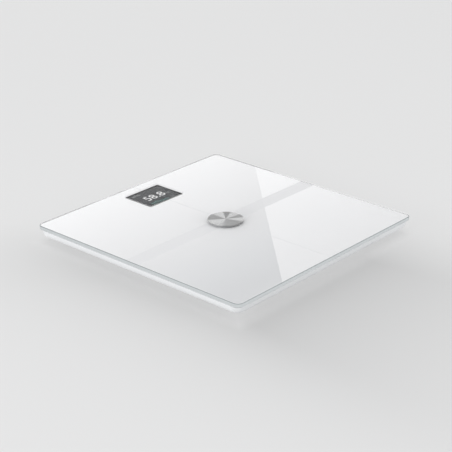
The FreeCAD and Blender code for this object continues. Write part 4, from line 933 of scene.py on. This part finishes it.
def display_face():
    panel = Finish("display_face")
    place = panel.place()
    x, y, z = panel.parts(place)
    across = 1 - (x - DISPLAY_X).size().smooth(ACTIVE_HALF[0] - 0.2 * MM, ACTIVE_HALF[0] + 0.2 * MM)
    along = 1 - (y - DISPLAY_Y).size().smooth(ACTIVE_HALF[1] - 0.2 * MM, ACTIVE_HALF[1] + 0.2 * MM)
    active = across * along
    cells = (x.wave(0.5 * MM) * y.wave(0.5 * MM)) * 0.06 + 0.94
    tone = panel.blend(active, (0.008, 0.009, 0.010), (0.033, 0.036, 0.040))
    return panel.done(panel.principled(
        Base_Color=panel.vector("SCALE", tone, cells), Roughness=0.22, Specular_IOR_Level=0.1,
    ))


panel_shape = rounded(
    panel_low.x + HAIR, panel_high.x - HAIR, panel_low.y + HAIR, panel_high.y - HAIR, 1.0 * MM
)
panel_piece = flat_piece("display_panel", [panel_shape], panel_low.z + HAIR, PANEL_FACE, display_face())
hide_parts("lcd_panel")


# %% Digits and signs
def glowing(name, colour, level):
    """Light from a display segment, a little uneven from dot to dot."""
    sign = Finish(name)
    x, y, z = sign.parts(sign.place())
    dots = (x.wave(0.4 * MM) * y.wave(0.4 * MM)) * 0.04 + 0.96
    tone = sign.vector("SCALE", sign.blend(dots, (0, 0, 0), colour), level)
    return sign.done(sign.principled(
        Base_Color=(0.02, 0.02, 0.02), Roughness=0.3, Specular_IOR_Level=0.1,
        Emission_Color=tone, Emission_Strength=1.0,
    ))


def sign_on(name, words, left, low, high, width, material):
    """Words as a thin raised shape, fitted to a left edge, a bottom, a top and a width."""
    curve = bpy.data.curves.new(name, "FONT")
    curve.body = words
    curve.size = 10 * MM
    curve.extrude = 0.02 * MM
    drawn = bpy.data.objects.new(name + "_curve", curve)
    mesh = bpy.data.meshes.new_from_object(drawn)
    bpy.data.objects.remove(drawn)
    xs = [v.co.x for v in mesh.vertices]
    ys = [v.co.y for v in mesh.vertices]
    grow_x, grow_y = width / (max(xs) - min(xs)), (high - low) / (max(ys) - min(ys))
    for vertex in mesh.vertices:
        vertex.co.x = DISPLAY_X + left + (vertex.co.x - min(xs)) * grow_x
        vertex.co.y = DISPLAY_Y + low + (vertex.co.y - min(ys)) * grow_y
    closed_mesh(mesh, Vector((0, 0, PANEL_FACE + 0.03 * MM)))
    piece = link_piece(name, mesh, material, "scale_body")
    return piece


white_light = glowing("white_segments", (1.0, 1.0, 1.0), 0.80)
faint_light = glowing("faint_segments", (0.95, 1.0, 1.0), 0.30)
teal_light = glowing("teal_segments", (0.35, 0.95, 0.85), 0.30)
sign_on("reading_digits", "58.8", -15.5 * MM, -6.5 * MM, 6.5 * MM, 32 * MM, white_light)
sign_on("unit_sign", "kg", 18.4 * MM, -6.6 * MM, -1.4 * MM, 5.4 * MM, faint_light)
sign_on("clock_sign", "08:45", -22 * MM, 15.2 * MM, 18.6 * MM, 13 * MM, faint_light)
sign_on("change_sign", "-0.4", 12.5 * MM, -17.5 * MM, -14.9 * MM, 7 * MM, faint_light)

# %% [markdown]
# The trend line is a ribbon along a few readings. A ribbon is made by stepping off to both sides of the
# line at each reading, and the tinted patch fills what lies under it.

# %% Trend
READINGS = [(-20, -13.5), (-15, -15), (-10, -13), (-5, -15.5), (0, -16.5), (5, -15.8), (9, -17.5)]
RIBBON = 0.35 * MM
trend = [Vector((DISPLAY_X + x * MM, DISPLAY_Y + y * MM)) for x, y in READINGS]


def ribbon(points, half):
    """Outline of a thin band along a line."""
    sides = []
    for k, point in enumerate(points):
        run = points[min(k + 1, len(points) - 1)] - points[max(k - 1, 0)]
        sides.append(Vector((-run.y, run.x)).normalized() * half)
    return [p + s for p, s in zip(points, sides)] + [p - s for p, s in reversed(list(zip(points, sides)))]


line_piece = flat_piece(
    "trend_line", [ribbon(trend, RIBBON)], PANEL_FACE + 0.02 * MM, PANEL_FACE + 0.05 * MM, teal_light
)
patch_bottom = DISPLAY_Y - 20 * MM
patch = [trend[0].copy(), *[p.copy() for p in trend[1:]]]
patch += [Vector((trend[-1].x, patch_bottom)), Vector((trend[0].x, patch_bottom))]
patch_light = glowing("teal_patch", (0.30, 0.85, 0.80), 0.06)
patch_piece = flat_piece("trend_patch", [patch], PANEL_FACE + 0.005 * MM, PANEL_FACE + 0.012 * MM, patch_light)
print("display signs and a trend of", len(READINGS), "readings")

# %% [markdown]
# ## Batteries
#
# Four small cells lie in the bay. Each is a plated can with a raised button at the positive end, and a
# printed wrap that rolls over its shoulders. They take turns facing front and back, so that each
# contact plate joins a positive end to a negative one.

# %% Cells
NUB_R, NUB_L = 1.9 * MM, 1.0 * MM


def cell_profiles(radius, length):
    """The can's profile and the wrap's, from the flat end to the button."""
    shoulder = length - NUB_L
    can_r = radius - 0.16 * MM
    can = [(0, HAIR), (can_r - 1.3 * MM, HAIR), (can_r - 1.0 * MM, 0.3 * MM), (can_r - 0.6 * MM, 0.3 * MM)]
    can += [(can_r - 0.4 * MM, 0.1 * MM), (can_r, 0.5 * MM), (can_r, shoulder - 0.6 * MM)]
    can += [(can_r - 0.5 * MM, shoulder - 0.12 * MM), (NUB_R + 0.7 * MM, shoulder - 0.12 * MM)]
    can += [(NUB_R + 0.5 * MM, shoulder - 0.3 * MM), (NUB_R + 0.1 * MM, shoulder - 0.3 * MM)]
    can += [(NUB_R - HAIR, shoulder), *rounded_edge(NUB_R - 0.3 * MM, length - 0.31 * MM, 0.29 * MM, 0, 90, 4)]
    can += [(0, length - 0.02 * MM)]
    outer = radius - HAIR
    wrap = [(can_r - 0.5 * MM, 0.02 * MM), (outer - 0.35 * MM, 0.02 * MM), (outer, 0.4 * MM)]
    wrap += [(outer, shoulder - 0.45 * MM), (outer - 0.4 * MM, shoulder - HAIR)]
    wrap += [(can_r - 0.7 * MM, shoulder - HAIR), (can_r - 0.7 * MM, shoulder - 0.1 * MM)]
    wrap += [(can_r - 0.45 * MM, shoulder - 0.1 * MM), (can_r + 0.03 * MM, shoulder - 0.6 * MM)]
    wrap += [(can_r + 0.03 * MM, 0.5 * MM), (can_r - 0.4 * MM, 0.07 * MM), (can_r - 0.5 * MM, 0.07 * MM)]
    return can, wrap


wraps = {way: battery_wrap(way) for way in (1, -1)}
for index in range(4):
    name = f"battery_{index + 1}"
    way = 1 if index % 2 else -1
    low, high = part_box(name)
    start = Vector(((low.x + high.x) / 2, low.y if way > 0 else high.y, (low.z + high.z) / 2))
    can, wrap = cell_profiles((high.x - low.x) / 2, high.y - low.y)
    can_piece = turned_piece(name + "_can", can, finishes["plated_steel"], start, 64, way)
    wrap_piece = turned_piece(name + "_wrap", wrap, wraps[way], start, 64, way, True)
    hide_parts(name)
print("four cells of", round((high.y - low.y) / MM, 1), "mm")

# %% [markdown]
# ## Thumb grip on the battery door
#
# A hand finds the way to open the door by a few curved ribs near its latch. They are drawn as ribbons
# along arcs and ride on the door.

# %% Grip ribs
door_low, door_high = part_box("battery_door")
pins_low, pins_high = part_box("door_hinge_pins")
DOOR_FACE = (pins_low.z + pins_high.z) / 2 - 0.7 * MM
GRIP_R, GRIP_SPAN, GRIP_PITCH, RIB_H = 16 * MM, 62, 2.2 * MM, 0.25 * MM
door_x = (door_low.x + door_high.x) / 2
for k in range(4):
    angles = [math.radians(90 - GRIP_SPAN / 2 + GRIP_SPAN * step / 16) for step in range(17)]
    centre_y = door_high.y - 8 * MM - GRIP_R - k * GRIP_PITCH
    arc = [Vector((door_x + GRIP_R * math.cos(a), centre_y + GRIP_R * math.sin(a))) for a in angles]
    rib = flat_piece(
        f"grip_rib_{k + 1}", [ribbon(arc, 0.4 * MM)], DOOR_FACE - RIB_H, DOOR_FACE + RIB_H,
        finishes["white_plastic"], "battery_door",
    )
print("door face at", round(DOOR_FACE / MM, 2), "mm; door from", round(door_low.z / MM, 2), "to",
      round(door_high.z / MM, 2))

# %% [markdown]
# ## Measure the size and finish
#
# Both boxes, the engineering model's and the one with everything made here, are measured and printed
# side by side. Nothing made here may grow the scale beyond its engineering model.

# %% Measure and finish
full_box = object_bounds()
print("model box and full box, mm:")
for box in (cad_box, full_box):
    print([[round(v / MM, 3) for v in corner] for corner in box])
